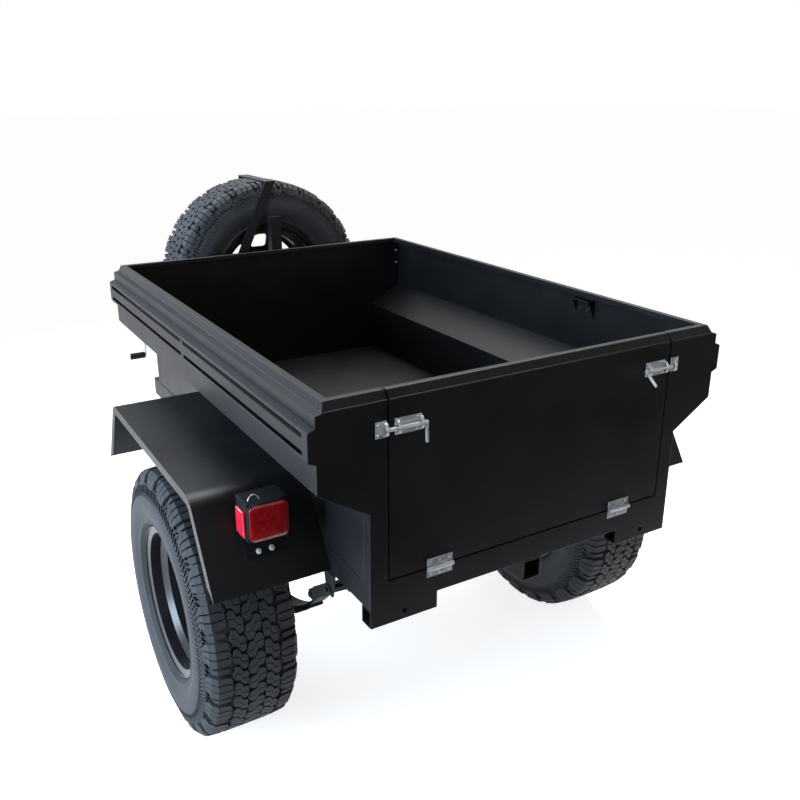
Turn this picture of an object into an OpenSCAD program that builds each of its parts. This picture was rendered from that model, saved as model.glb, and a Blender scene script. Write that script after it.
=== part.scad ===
// Off-road cargo trailer, parked on its two wheels and its jack.
// Millimetres, +Y forward, +X right, +Z up, origin on the ground at the middle of the overall length.
// Places along the trailer are worked out from the tub's rear face and then shifted to that origin.

/* [Tub] */
// Length of the tub over its end panels
tub_l = 1780; // [1600:10:2000]
// Width over the lower walls
low_w = 1016; // [960:2:1080]
// How far each upper wall stands out beyond the lower one
flare = 135; // [120:1:150]
// Height of the lower walls above the frame
low_h = 200; // [170:2:240]
// Rise of the sloped shelf between lower and upper walls
shelf_h = 82; // [60:2:100]
// Height of the upper walls
wall_h = 194; // [180:2:240]
// Height of the rim above the upper walls
rim_h = 26; // [20:1:36]
// Thickness of the tub's sheet
sheet_t = 3; // [2:0.5:4]
// Inward step of the side rim at its foot
ledge_w = 18; // [12:1:24]
// Rise of that step
ledge_rise = 4.5; // [3:0.5:7]
// Inward lean of the side rim
rim_lean = 8; // [5:1:14]
// Inward lean of the end rims
end_lean = 14; // [8:1:20]
// Width of the rim's flat top
rim_flat = 18; // [14:1:26]
// Depth of the lip folded down from the flat top
rim_lip = 18; // [12:1:24]

/* [Tie rails] */
// Height of a tie rail's foot above the foot of the upper wall
tie_rise = 77; // [60:1:90]
// Height of a tie rail on the wall
tie_h = 88; // [80:1:100]
// How far a tie rail stands out from the wall
tie_out = 20; // [15:1:28]
// Height lost by each slanted edge of a tie rail
tie_slant = 8; // [5:1:12]
// Height of a strap slot
slot_h = 12; // [9:1:16]
// Distance between the two rows of slots
slot_pitch = 43; // [36:1:48]
// Solid length at each end of a tie rail
slot_end = 30; // [20:2:50]
// Solid length between the two slots of a row
slot_web = 25; // [15:1:50]

/* [Tailgate] */
// Width of a rear post beside the tailgate
post_w = 48; // [40:1:60]
// Gap round the tailgate
gate_gap = 5; // [5:0.5:7]
// Width of a hinge
hinge_w = 76; // [60:2:90]
// Height of one hinge leaf from the pin
hinge_leaf = 26; // [20:1:30]
// Distance of a hinge's middle from the gate's edge
hinge_in = 148; // [100:2:240]
// Distance of the hinge pin behind the gate's face
hinge_pin_out = 6.5; // [6:0.5:9]
// Radius of the hinge knuckles
knuckle_r = 6; // [5:0.25:6]
// Radius of the hinge pin
hinge_pin_r = 2.5; // [2:0.25:3]
// Running clearance of pins and shafts
run_gap = 0.08; // [0.05:0.01:0.1]
// Height of the latches below the top of the rim
latch_drop = 91; // [80:1:120]
// Length of a latch case
latch_l = 74; // [60:1:90]
// Height of a latch case
latch_h = 41; // [34:1:50]
// Distance of a latch case from the gate's edge
latch_in = 15; // [12:1:24]
// Radius of a latch bolt
bolt_r = 5; // [4:0.25:5.25]
// Length of a latch handle
handle_l = 48; // [36:1:60]
// Outward lean of the left latch's handle in degrees
handle_left = 2; // [0:1:20]
// Outward lean of the right latch's handle in degrees
handle_right = 52; // [0:1:60]

/* [Fenders and lamps] */
// How far a tyre stands out beyond its fender
fender_show = 7; // [0:1:30]
// Thickness of the fender plate
fender_t = 4; // [3:0.5:6]
// Gap between a tyre and the fender above it
fender_gap = 101; // [90:1:115]
// Height of the fender above the underside of the frame
fender_rise = 241; // [230:1:250]
// Depth of the lip folded down along the fender's outer edge
fender_lip = 28; // [20:1:34]
// Distance of the rear bend behind the axle
fender_back = 380; // [365:1:395]
// Distance of the front bend ahead of the axle
fender_fore = 401; // [385:1:420]
// Backward run of the rear flap
flap_back_run = 143; // [130:1:155]
// Drop of the rear flap
flap_back_drop = 231; // [215:1:240]
// Forward run of the front flap
flap_fore_run = 132; // [120:1:145]
// Drop of the front flap
flap_fore_drop = 231; // [215:1:240]
// Radius of the rear bend
bend_back_r = 60; // [40:1:70]
// Radius of the front bend
bend_fore_r = 44; // [38:1:60]
// Width of a tail lamp
lamp_w = 111; // [90:1:125]
// Height of a tail lamp
lamp_h = 106; // [90:1:120]
// Depth of a tail lamp from lens to back
lamp_d = 88; // [76:1:95]
// Thickness of a lamp lens
lens_t = 14; // [8:1:20]
// Distance of a tail lamp's middle from the lower wall
lamp_out = 163; // [140:1:190]
// Distance of a tail lamp's underside below the top of the fender
lamp_drop = 99; // [85:1:110]

/* [Frame] */
// Width of the frame tubes
rail_w = 50; // [44:1:60]
// Height of the frame tubes
rail_h = 70; // [60:1:76]
// Wall of the frame tubes
tube_t = 3; // [2:0.5:5]
// How far the rails reach ahead of the tub
nose_l = 73; // [73:1:90]
// Distance of the middle crossmembers from each other
cross_pitch = 560; // [400:10:640]
// Height of the corner sockets
socket_h = 48; // [44:1:54]
// Depth of the corner sockets
socket_d = 43; // [38:1:50]
// Length of the corner sockets
socket_l = 196; // [170:2:200]
// Radius of the pin hole in a corner socket
socket_pin_r = 7; // [5:0.5:9]
// Outer width of the receiver tube
receiver_w = 63.5; // [60:0.5:76]
// Wall of the receiver tube
receiver_t = 6.2; // [4:0.1:6.4]
// Length of the receiver tube
receiver_l = 300; // [240:10:400]
// Radius of the hitch pin's hole
hitch_pin_r = 8.3; // [7:0.1:9]
// Distance of the hitch pin from the receiver's mouth
hitch_pin_in = 64; // [50:1:80]

/* [Drawbar and jack] */
// Angle of each drawbar tube from the middle line in degrees
draw_angle = 25; // [24:0.5:26]
// Distance of a drawbar tube's front end from the middle line
draw_tip_x = 30; // [29:0.5:40]
// Distance from the drawbar tubes' tips to the ball's centre
ball_ahead = 139; // [120:1:160]
// Radius of the tow ball
ball_r = 25.4; // [23:0.1:30]
// Clearance round the tow ball
ball_gap = 0.6; // [0.4:0.1:1]
// Outer radius of the coupler's nose
nose_r = 38; // [37:1:44]
// Thickness of the coupler's plate
coupler_t = 6; // [5:0.5:9]
// Distance along the drawbar from its rear end to the jack
jack_along = 548; // [500:5:600]
// Outer radius of the jack's tube
jack_r = 30; // [29:0.5:36]
// Radius of the jack's leg
leg_r = 25; // [22:0.5:26]
// Thickness of the jack's mounting plate
jack_plate = 12; // [8:1:16]
// Height of the jack's lower end above the ground
jack_low = 500; // [470:5:540]
// Height of the jack's head above the top of the frame
jack_head = 123; // [110:1:150]
// How far the leg draws up
jack_travel = 240; // [200:5:250]
// Width of the jack's foot
foot_w = 140; // [110:2:170]
// Thickness of the jack's foot
foot_t = 10; // [8:1:14]
// Reach of the crank from the jack's axis to its arm
crank_reach = 145; // [120:1:160]
// Length of the crank's arm
crank_arm = 150; // [120:1:180]
// Length of the crank's grip
grip_l = 77; // [60:1:100]

/* [Wheels and axle] */
// Distance of the axle from the tub's rear face
axle_y = 739; // [720:1:800]
// Gap between a tyre and the lower wall
tyre_gap = 32; // [25:1:50]
// Outer diameter of a tyre
tyre_d = 838; // [800:2:840]
// Width of a tyre over its sidewalls
tyre_w = 300; // [280:2:306]
// Distance of the tread's edge inside the sidewall
tread_in = 28; // [24:1:36]
// Number of lugs round each shoulder of a tyre
lugs = 24; // [18:1:28]
// Width of the slots between the lugs
lug_slot = 30; // [16:1:36]
// Depth of those slots at their inner ends
lug_depth = 11; // [6:1:12]
// Radius of the rim at the bead seats
bead_r = 219; // [216:1:222]
// Height of the rim's flanges above the bead seats
flange_h = 17; // [14:1:20]
// Distance of the rim's flange inside the sidewall
rim_in = 23; // [20:1:26]
// Thickness of the rim's barrel
rim_t = 5; // [4:0.5:7]
// Thickness of the wheel's disc
disc_t = 8; // [6:0.5:10]
// How far the mounting face lies inside the wheel's middle plane
disc_in = 13; // [8:1:18]
// Number of windows in a wheel
windows = 8; // [6:1:9]
// Number of wheel bolts
bolts = 5; // [4:1:6]
// Radius of the wheel bolts' circle
bolt_circle_r = 63.5; // [58:0.5:66]
// Radius of the axle's tube
axle_r = 32; // [28:1:36]
// Radius of the spindles
spindle_r = 17; // [15:0.5:19]
// Distance between the eyes of a leaf spring
spring_span = 836; // [810:2:860]
// Rise of a leaf spring's eyes above its middle
spring_rise = 188; // [175:1:200]
// Width of the leaves
leaf_w = 45; // [38:1:48]
// Thickness of a leaf
leaf_t = 8; // [6:0.5:9]

/* [Spare wheel] */
// Distance of the spare's middle to the right of the middle line
spare_x = 53; // [0:1:60]
// Gap between the rails' front ends and the spare's sidewall, taken backwards
spare_tuck = 2; // [0:1:4]
// Gap between the spare and the drawbar tubes that it sits between
spare_gap = 3; // [2:0.5:20]
// Height of the carrier post above the spare's middle
post_over = 280; // [240:5:320]
// Width of the carrier post and the strap
strap_w = 46; // [36:1:52]
// Thickness of the strap
strap_t = 5; // [4:0.5:6]
// Sideways lean of the strap for each unit of height
strap_lean = 0.475; // [0.3:0.005:0.5]

/* [Hidden] */
$fn = 64;
black = "#191a1c";
wheel_black = "#101113";
zinc = "#b9bcc0";
rubber = "#26272a";
red = "#a30d14";
jack_grey = "#8d9196";

// Heights
axle_z = tyre_d / 2;
fender_z = tyre_d + fender_gap + fender_t;
frame_z = fender_z - fender_rise;
floor_z = frame_z + rail_h;
sill_z = floor_z + sheet_t;
knee_z = floor_z + low_h;
shelf_z = knee_z + shelf_h;
ledge_z = shelf_z + wall_h;
rim_z = ledge_z + ledge_rise;
top_z = ledge_z + rim_h;

// Half widths and depths
low_hw = low_w / 2;
up_hw = low_hw + flare;
rim_hw = up_hw - ledge_w;
top_hw = rim_hw - rim_lean;
open_hw = low_hw - post_w;
gate_hw = open_hw - gate_gap;
hinge_x = gate_hw - hinge_in;
end_d = end_lean + rim_flat;
gate_z = sill_z + gate_gap;
hinge_z = sill_z + gate_gap / 2;
rail_end = tub_l + nose_l;
receiver_z = frame_z - receiver_w / 2;
socket_x = low_hw - socket_l / 2;
socket_z = frame_z - socket_h / 2;
spring_x = low_hw - rail_w / 2;
wheel_x = low_hw + tyre_gap + tyre_w / 2;
fender_w = tyre_gap + tyre_w - fender_show;

// Latches
latch_z = top_z - latch_drop;
latch_y = -11;
latch_plate = 2;
strap_r = latch_h / 2 - 1.3;
loop_t = 2.8;
handle_r = 4.2;
keeper_l = 30;
keeper_x = open_hw + 2;
bolt_tip = keeper_x - 3;
case_x = gate_hw - latch_in - latch_l;

// Drawbar and coupler
draw_hw = rail_w / 2 / cos(draw_angle);
draw_x = low_hw - rail_w - draw_hw - 0.42;
draw_tip_y = rail_end + (draw_x - draw_tip_x) / tan(draw_angle);
ball_y = draw_tip_y + ball_ahead;
ball_z = floor_z - 26;
nose_low = floor_z - 50;
nose_top = floor_z + coupler_t;
rear_out = -latch_y + handle_l * sin(max(handle_left, handle_right)) + handle_r;
mid_y = (ball_y + nose_r - rear_out) / 2;

// Jack, whose axis stands off the left drawbar tube's outer face
jack_off = rail_w / 2 + jack_plate + jack_r;
jack_x = -(draw_x - jack_along * sin(draw_angle)) - jack_off * cos(draw_angle);
jack_y = rail_end + jack_along * cos(draw_angle) + jack_off * sin(draw_angle);
jack_top = floor_z + jack_head;
crank_z = jack_top - 30;
leg_top = jack_top - 15 - jack_travel;

// Spring, clamped under the axle
seat_z = axle_z - axle_r - 3;
leaf_shares = [1, 0.86, 0.62, 0.38];
leaf_gap = 0.2;
spring_r = (pow(spring_span / 2, 2) + pow(spring_rise, 2)) / (2 * spring_rise);
spring_c = seat_z + spring_r;
eye_r = 18;
eye_bore = 8.2;
eye_proud = 1.5;
eye_set = 0.5;
eye_arc = spring_r + leaf_t + eye_proud - eye_r;
eye_angle = asin(spring_span / 2 / spring_r);
eye_dy = eye_arc * sin(eye_angle);
eye_z = spring_c - eye_arc * cos(eye_angle);
pin_r = eye_bore - 0.2;
hanger_t = 6;
shackle_dy = -105;
shackle_z = frame_z - 52;

// Spare
spare_y = rail_end - spare_tuck + tyre_w / 2;
tread_w = tyre_w - 2 * tread_in;
spare_reach = spare_y + tread_w / 2 - 16 - rail_end;
spare_half = max(0, draw_x - draw_hw - spare_reach * tan(draw_angle) - spare_x - spare_gap);
spare_z = floor_z + sqrt(pow(tyre_d / 2, 2) - pow(spare_half, 2));
post_d = 40;
post_y = rail_end - rail_w;
strap_y = post_y + post_d + 1.5;
strap_top = spare_z + tyre_d / 2 + 0.3;

// Outlines

function reversed(v) = [for (i = [len(v) - 1 : -1 : 0]) v[i]];
function unit(v) = v / norm(v);
function left_of(a, b) = let (d = unit(b - a)) [-d[1], d[0]];

// A path's corner moved t to the left, mitred between its two sides
function mitred(path, i, t) =
    let (last = len(path) - 1)
    let (before = i > 0 ? left_of(path[i - 1], path[i]) : left_of(path[0], path[1]))
    let (after = i < last ? left_of(path[i], path[i + 1]) : before)
    path[i] + t * (before + after) / (1 + before * after);

// A sheet of thickness t folded along a path, on its left for t > 0
function folded(path, t) =
    concat(path, reversed([for (i = [0 : len(path) - 1]) mitred(path, i, t)]));

// A bend of radius r at corner b, as points on its arc
function bend(a, b, c, r, steps = 8) =
    let (u = unit(a - b))
    let (v = unit(c - b))
    let (half = acos(u * v) / 2)
    let (centre = b + unit(u + v) * r / sin(half))
    let (first = b + u * r / tan(half) - centre)
    let (turn = (u[0] * v[1] - u[1] * v[0] > 0 ? -1 : 1) * (180 - 2 * half))
    [for (i = [0 : steps])
        let (w = turn * i / steps)
        centre + [first[0] * cos(w) - first[1] * sin(w), first[0] * sin(w) + first[1] * cos(w)]];

// Side wall's outer face from the frame up, in X and Z
wall_path = [
    [low_hw, floor_z], [low_hw, knee_z], [up_hw, shelf_z], [up_hw, ledge_z],
    [rim_hw, rim_z], [top_hw, top_z], [top_hw - rim_flat, top_z], [top_hw - rim_flat, top_z - rim_lip]
];
wall_outer = [for (i = [0 : 5]) wall_path[i]];
tub_outline = concat(wall_outer, [for (p = reversed(wall_outer)) [-p[0], p[1]]]);

// Tie rail's outer face, in X and Z
tie_z = shelf_z + tie_rise;
tie_path = [
    [up_hw, tie_z], [up_hw + tie_out, tie_z + tie_slant],
    [up_hw + tie_out, tie_z + tie_h - tie_slant], [up_hw, tie_z + tie_h]
];

// End panel's outer face, in X and Z, from a given foot up to the rim
function panel_outline(foot) =
    let (half = concat(foot, [[low_hw, knee_z], [up_hw, shelf_z]], tie_path, [[up_hw, ledge_z], [rim_hw, rim_z]]))
    concat(half, [for (p = reversed(half)) [-p[0], p[1]]]);

// End rim's outer face, in Y and Z, from a given height up
function end_path(z) =
    [[0, z], [0, rim_z], [end_lean, top_z], [end_d, top_z], [end_d, top_z - rim_lip]];
function end_block(z) = [[0, z], [0, rim_z], [end_lean, top_z], [end_d, top_z], [end_d, z]];

// Fender's outer face, in Y and Z, from the rear flap's edge forward
flap_foot = [axle_y - fender_back - flap_back_run, fender_z - flap_back_drop];
flap_top = [axle_y - fender_back, fender_z];
fore_top = [axle_y + fender_fore, fender_z];
fore_foot = [axle_y + fender_fore + flap_fore_run, fender_z - flap_fore_drop];
fender_path = concat(
    [flap_foot], bend(flap_foot, flap_top, fore_top, bend_back_r),
    bend(flap_top, fore_top, fore_foot, bend_fore_r), [fore_foot]
);

// Inner edge of the fender's lip at a corner of that path, drawn in at both ends so that the lip tapers
lip_taper = 45;
function lip_edge(i) =
    let (last = len(fender_path) - 1)
    let (next = i == 0 ? 1 : last - 1)
    let (inwards = unit(fender_path[next] - fender_path[i]))
    mitred(fender_path, i, -fender_lip) + (i == 0 || i == last ? lip_taper * inwards : [0, 0]);
lip_path = concat(fender_path, reversed([for (i = [0 : len(fender_path) - 1]) lip_edge(i)]));

// Rim's barrel, in radius and width, from the outer flange to the inner one
rim_hx = tyre_w / 2 - rim_in;
flange_r = bead_r + flange_h;
well_r = bead_r - 21;
barrel_path = [
    [flange_r, rim_hx], [flange_r, rim_hx - 7], [bead_r, rim_hx - 13], [bead_r, rim_hx - 45],
    [well_r, rim_hx - 62], [well_r, 62 - rim_hx], [bead_r, 45 - rim_hx], [bead_r, 13 - rim_hx],
    [flange_r, 7 - rim_hx], [flange_r, -rim_hx]
];
disc_face = disc_t - disc_in;
disc_rise = 27;
disc_path = [
    [well_r - rim_t + 1, disc_face + disc_rise - 8], [well_r - 20, disc_face + disc_rise],
    [120, disc_face + disc_rise], [96, disc_face], [41, disc_face]
];

// Helpers

// Shifts from the tub's rear face to the origin
module place() { translate([0, -mid_y, 0]) children(); }

// Right side as drawn for s = 1, mirrored to the left for s = -1
module on_side(s) {
    if (s < 0) mirror([1, 0, 0]) children();
    else children();
}

// Both sides
module both() { for (s = [-1, 1]) on_side(s) children(); }

// A Y and Z outline drawn out along X
module across(x0, x1) { translate([x0, 0, 0]) rotate([90, 0, 90]) linear_extrude(x1 - x0) children(); }

// An X and Z outline drawn out along Y
module along(y0, y1) { translate([0, y1, 0]) rotate([90, 0, 0]) linear_extrude(y1 - y0) children(); }

// An X and Y outline drawn up along Z
module upright(z0, z1) { translate([0, 0, z0]) linear_extrude(z1 - z0) children(); }

// A box from its low corner to its high corner
module block(low, high) { translate(low) cube(high - low); }

// A round bar along X, Y or Z
module bar_x(r, x0, x1) { translate([x0, 0, 0]) rotate([0, 90, 0]) cylinder(r = r, h = x1 - x0); }
module bar_y(r, y0, y1) { translate([0, y0, 0]) rotate([-90, 0, 0]) cylinder(r = r, h = y1 - y0); }

// A tube of rectangular section, open along one axis (0, 1 or 2)
module box_tube(low, high, t, axis) {
    cut = [for (i = [0 : 2]) i == axis ? -1 : t];
    difference() {
        block(low, high);
        block(low + cut, high - cut);
    }
}

// A four-cornered outline with round corners of radius r about the given centres
module round_quad(c, r) {
    n = len(c);
    edges = [for (i = [0 : n - 1]) let (d = -left_of(c[i], c[(i + 1) % n])) [c[i] + r * d, c[(i + 1) % n] + r * d]];
    polygon([for (e = edges) each e]);
    for (p = c) translate(p) circle(r);
}

// Tub

module floor_pan() {
    color(black) place()
        block([sheet_t - low_hw, end_d, floor_z], [low_hw - sheet_t, tub_l - end_d, sill_z]);
}

module side_wall(s) {
    color(black) place() on_side(s)
        along(end_d, tub_l - end_d) polygon(folded(wall_path, sheet_t));
}

// Wrapped corner of an end panel with its rim, from x0 outwards on the right side
module end_corner(x0, foot_z) {
    intersection() {
        along(0, end_d) polygon(folded(wall_path, sheet_t));
        across(0, up_hw) polygon(end_block(floor_z));
    }
    intersection() {
        across(x0, up_hw) polygon(folded(end_path(foot_z), -sheet_t));
        along(0, end_d) polygon(tub_outline);
    }
}

module front_wall() {
    color(black) place() translate([0, tub_l, 0]) mirror([0, 1, 0]) {
        along(0, sheet_t) polygon(panel_outline([[low_hw, floor_z]]));
        block([-low_hw, 0, floor_z], [low_hw, end_d, sill_z]);
        both() end_corner(0, ledge_z - 40);
    }
}

module rear_frame() {
    foot = [
        [low_hw - socket_l, frame_z], [low_hw - socket_l, frame_z - socket_h], [low_hw, frame_z - socket_h]
    ];
    color(black) place() difference() {
        union() {
            difference() {
                along(0, sheet_t) polygon(panel_outline(foot));
                block([-open_hw, -1, sill_z], [open_hw, sheet_t + 1, top_z]);
            }
            block([-low_hw, 0, floor_z], [low_hw, end_d, sill_z]);
            both() {
                end_corner(open_hw, ledge_z - 40);
                across(open_hw, open_hw + sheet_t) polygon(end_block(floor_z));
            }
        }
        both() translate([socket_x, 0, socket_z]) bar_y(socket_pin_r, -1, sheet_t + 1);
    }
}

module tie_rail(s) {
    run = (tub_l - 2 * slot_end - slot_web) / 2;
    mid_z = tie_z + tie_h / 2;
    color(black) place() on_side(s) difference() {
        intersection() {
            along(sheet_t, tub_l - sheet_t) polygon(folded(tie_path, sheet_t));
            block([up_hw, 0, tie_z - 1], [up_hw + tie_out, tub_l, tie_z + tie_h + 1]);
        }
        for (row = [-1, 1], y = [slot_end, slot_end + run + slot_web])
            translate([up_hw + tie_out - sheet_t - 1, y, mid_z + row * slot_pitch / 2])
                rotate([90, 0, 90]) linear_extrude(sheet_t + 2) {
                    translate([slot_h / 2, -slot_h / 2]) square([run - slot_h, slot_h]);
                    for (end = [slot_h / 2, run - slot_h / 2]) translate([end, 0]) circle(slot_h / 2);
                }
    }
}

// Angle brackets under the rim, inside the upper walls
module wall_brackets() {
    bracket_y = 495;
    bracket_l = 85;
    bracket_h = 62;
    bracket_out = 30;
    top = ledge_z - 8;
    inner = up_hw - sheet_t;
    color(black) place() both() {
        block([inner - 5, bracket_y, top - bracket_h], [inner, bracket_y + bracket_l, top]);
        block([inner - bracket_out, bracket_y, top - 5], [inner, bracket_y + bracket_l, top]);
        for (y = [bracket_y, bracket_y + bracket_l - 5])
            along(y, y + 5) polygon([[inner, top], [inner - bracket_out, top], [inner, top - bracket_h]]);
    }
}

// Tailgate

module tailgate() {
    path = concat([[end_d, gate_z], [0, gate_z]], [for (i = [1 : 4]) end_path(gate_z)[i]]);
    color(black) place() {
        across(-gate_hw, gate_hw) polygon(folded(path, -sheet_t));
        both() across(gate_hw - sheet_t, gate_hw) polygon(end_block(gate_z));
    }
}

// One leaf of both hinges: knuckles in the given fifths of the width, plate rising for up = 1
module hinge_leaves(fifths, up) {
    step = hinge_w / 5;
    slack = 0.3;
    both() translate([hinge_x - hinge_w / 2, 0, hinge_z]) {
        block([0, -2, up > 0 ? knuckle_r : -hinge_leaf], [hinge_w, 0, up > 0 ? hinge_leaf : -knuckle_r]);
        for (i = fifths) {
            block(
                [i * step + slack, -2, up > 0 ? 3.2 : -knuckle_r],
                [(i + 1) * step - slack, 0, up > 0 ? knuckle_r : -3.2]
            );
            translate([0, -hinge_pin_out, 0]) bar_x(knuckle_r, i * step + slack, (i + 1) * step - slack);
        }
    }
}

module hinge_gate_leaves() {
    color(zinc) place() difference() {
        hinge_leaves([1, 3], 1);
        both() translate([hinge_x, -hinge_pin_out, hinge_z])
            bar_x(hinge_pin_r + run_gap, -hinge_w / 2, hinge_w / 2);
    }
}

module hinge_sill_leaves() {
    color(zinc) place() {
        hinge_leaves([0, 2, 4], -1);
        both() translate([hinge_x, -hinge_pin_out, hinge_z]) bar_x(hinge_pin_r, -hinge_w / 2, hinge_w / 2);
    }
}

// A plate with bowed straps over the bolt, from x0 to x1, straps given as distances from x0
module bolt_guide(x0, x1, straps, strap_l) {
    translate([0, 0, latch_z]) {
        block([x0, -latch_plate, -latch_h / 2], [x1, 0, latch_h / 2]);
        for (d = straps) difference() {
            bar_x(strap_r, x0 + d, x0 + d + strap_l);
            bar_x(strap_r - loop_t, x0 + d - 1, x0 + d + strap_l + 1);
            block([x0 + d - 1, -latch_plate / 2, -latch_h], [x0 + d + strap_l + 1, latch_h, latch_h]);
        }
    }
}

module latch_cases() {
    color(zinc) place() both() bolt_guide(case_x, case_x + latch_l, [2, latch_l - 9], 7);
}

module latch_keepers() {
    color(zinc) place() both() bolt_guide(keeper_x, keeper_x + keeper_l, [2], 8);
}

module latch_bolts() {
    tail = case_x - 8;
    color(zinc) place() for (s = [-1, 1]) on_side(s) translate([0, latch_y, latch_z]) {
        bar_x(bolt_r, tail, bolt_tip);
        translate([tail, 0, 0]) {
            sphere(bolt_r);
            rotate([s > 0 ? -handle_right : -handle_left, 0, 0]) {
                translate([0, 0, -handle_l]) cylinder(r = handle_r, h = handle_l);
                translate([0, 0, -handle_l]) sphere(handle_r);
            }
        }
    }
}

// Fenders and lamps

module fender(s) {
    edge = low_hw + fender_w;
    color(black) place() on_side(s) {
        across(low_hw, edge) polygon(folded(fender_path, -fender_t));
        across(edge - fender_t, edge) polygon(lip_path);
    }
}

lamp_x = low_hw + lamp_out;
lamp_z = fender_z - lamp_drop;
lamp_y = flap_foot[0] + 6;
flap_dir = unit(flap_top - flap_foot);
flap_out = left_of(flap_foot, flap_top);

// A point on the rear flap's outer face at height z, moved out by d
function on_flap(z, d = 0) =
    flap_foot + flap_dir * (z - flap_foot[1]) / flap_dir[1] + flap_out * d;

module lamp_housings() {
    foot_z = lamp_z - 64;
    color(black) place() both() {
        difference() {
            block(
                [lamp_x - lamp_w / 2, lamp_y + lens_t, lamp_z],
                [lamp_x + lamp_w / 2, lamp_y + lamp_d, lamp_z + lamp_h]
            );
            across(lamp_x - lamp_w, lamp_x + lamp_w)
                polygon([flap_foot, flap_top, flap_top + [200, 0], flap_foot + [200, 0]]);
        }
        across(lamp_x - lamp_w / 2, lamp_x + lamp_w / 2)
            polygon([on_flap(foot_z), on_flap(lamp_z + 10), on_flap(lamp_z + 10, 4), on_flap(foot_z, 4)]);
    }
}

module lamp_lenses() {
    inset = 2.5;
    color(red) place() both() {
        along(lamp_y, lamp_y + lens_t) round_quad([
            for (c = [[-1, 0], [1, 0], [1, 1], [-1, 1]])
                [lamp_x + c[0] * (lamp_w / 2 - 14 - inset), lamp_z + 14 + inset + c[1] * (lamp_h - 28 - 2 * inset)]
        ], 14);
        block(
            [lamp_x + lamp_w / 2, lamp_y + lens_t + 8, lamp_z + 10],
            [lamp_x + lamp_w / 2 + 8, on_flap(lamp_z + 10)[0] - 8, lamp_z + 82]
        );
    }
}

// Frame

module frame_rail(s) {
    color(black) place() on_side(s)
        box_tube([low_hw - rail_w, sheet_t, frame_z], [low_hw, rail_end, floor_z], tube_t, 1);
}

module crossmembers() {
    half = low_hw - rail_w;
    starts = [sheet_t, axle_y - cross_pitch / 2, axle_y + cross_pitch / 2, rail_end - rail_w];
    color(black) place() for (y = starts)
        box_tube([-half, y, frame_z], [half, y + rail_w, floor_z], tube_t, 0);
}

module corner_sockets() {
    color(black) place() both() difference() {
        box_tube(
            [low_hw - socket_l, sheet_t, frame_z - socket_h], [low_hw, sheet_t + socket_d, frame_z], tube_t, 0
        );
        translate([socket_x, 0, socket_z]) bar_y(socket_pin_r, 0, sheet_t + socket_d + 1);
    }
}

module receiver() {
    half = receiver_w / 2;
    color(black) place() difference() {
        box_tube([-half, 0, frame_z - receiver_w], [half, receiver_l, frame_z], receiver_t, 1);
        translate([0, hitch_pin_in, receiver_z]) bar_x(hitch_pin_r, -half - 1, half + 1);
    }
}

// Drawbar and coupler

module drawbar(s) {
    wall = tube_t / cos(draw_angle);
    color(black) place() on_side(s) difference() {
        upright(frame_z, floor_z) polygon([
            [draw_x - draw_hw, rail_end], [draw_x + draw_hw, rail_end],
            [draw_tip_x + draw_hw, draw_tip_y], [draw_tip_x - draw_hw, draw_tip_y]
        ]);
        upright(frame_z + tube_t, floor_z - tube_t) polygon([
            [draw_x - draw_hw + wall, rail_end], [draw_x + draw_hw - wall, rail_end],
            [draw_tip_x + draw_hw - wall, draw_tip_y], [draw_tip_x - draw_hw + wall, draw_tip_y]
        ]);
    }
}

module coupler() {
    seat = 110;
    tip = draw_tip_x + draw_hw;
    back = tip + seat * tan(draw_angle);
    neck = nose_r - coupler_t;
    color(black) place() difference() {
        union() {
            upright(floor_z, nose_top) polygon([
                [-back, draw_tip_y - seat], [back, draw_tip_y - seat], [tip, draw_tip_y], [-tip, draw_tip_y]
            ]);
            difference() {
                upright(nose_low, nose_top)
                    polygon([[-tip, draw_tip_y], [tip, draw_tip_y], [nose_r, ball_y], [-nose_r, ball_y]]);
                upright(nose_low - 1, floor_z) polygon([
                    [coupler_t - tip, draw_tip_y - 1], [tip - coupler_t, draw_tip_y - 1],
                    [neck, ball_y - nose_r], [-neck, ball_y - nose_r]
                ]);
            }
            translate([0, ball_y, nose_low]) cylinder(r = nose_r, h = nose_top - nose_low);
        }
        translate([0, ball_y, ball_z]) sphere(ball_r + ball_gap);
        translate([0, ball_y, nose_low - 1]) cylinder(r = ball_r + ball_gap, h = ball_z - nose_low + 1);
    }
}

module coupler_lever() {
    foot = draw_tip_y + 60;
    color(zinc) place() across(-12, 12) polygon(folded([
        [foot, nose_top], [foot, nose_top + 18], [foot - 60, nose_top + 28], [foot - 140, nose_top + 36]
    ], 5));
}

// Jack

module at_jack() { place() translate([jack_x, jack_y, 0]) children(); }

module jack_body() {
    bore = leg_r + run_gap;
    color(jack_grey) at_jack() difference() {
        union() {
            translate([0, 0, jack_low]) cylinder(r = jack_r, h = jack_top - jack_low);
            translate([0, 0, crank_z - 28]) cylinder(r = jack_r + 5, h = jack_top - crank_z + 28);
            translate([0, 0, crank_z]) bar_x(16, -48, 0);
            rotate([0, 0, -draw_angle])
                block([0, -44, frame_z - 12], [jack_r + jack_plate, 44, floor_z + 12]);
        }
        translate([0, 0, jack_low - 1]) cylinder(r = bore, h = jack_top - 8 - jack_low + 1);
    }
}

module jack_crank() {
    rod = 7;
    color(zinc) at_jack() translate([0, 0, crank_z]) {
        bar_x(rod, -crank_reach, -48);
        translate([-crank_reach, 0, 0]) {
            sphere(rod);
            translate([0, 0, -crank_arm]) {
                cylinder(r = rod, h = crank_arm);
                sphere(rod);
                bar_x(14, -grip_l, -4);
                bar_x(rod, -4, 0);
            }
        }
    }
}

module jack_leg() {
    color(jack_grey) at_jack() {
        translate([0, 0, foot_t]) cylinder(r = leg_r, h = leg_top - foot_t);
        block([-foot_w / 2, -foot_w / 2, 0], [foot_w / 2, foot_w / 2, foot_t]);
    }
}

// Axle and springs

module at_axle() { place() translate([0, axle_y, 0]) children(); }

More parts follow.
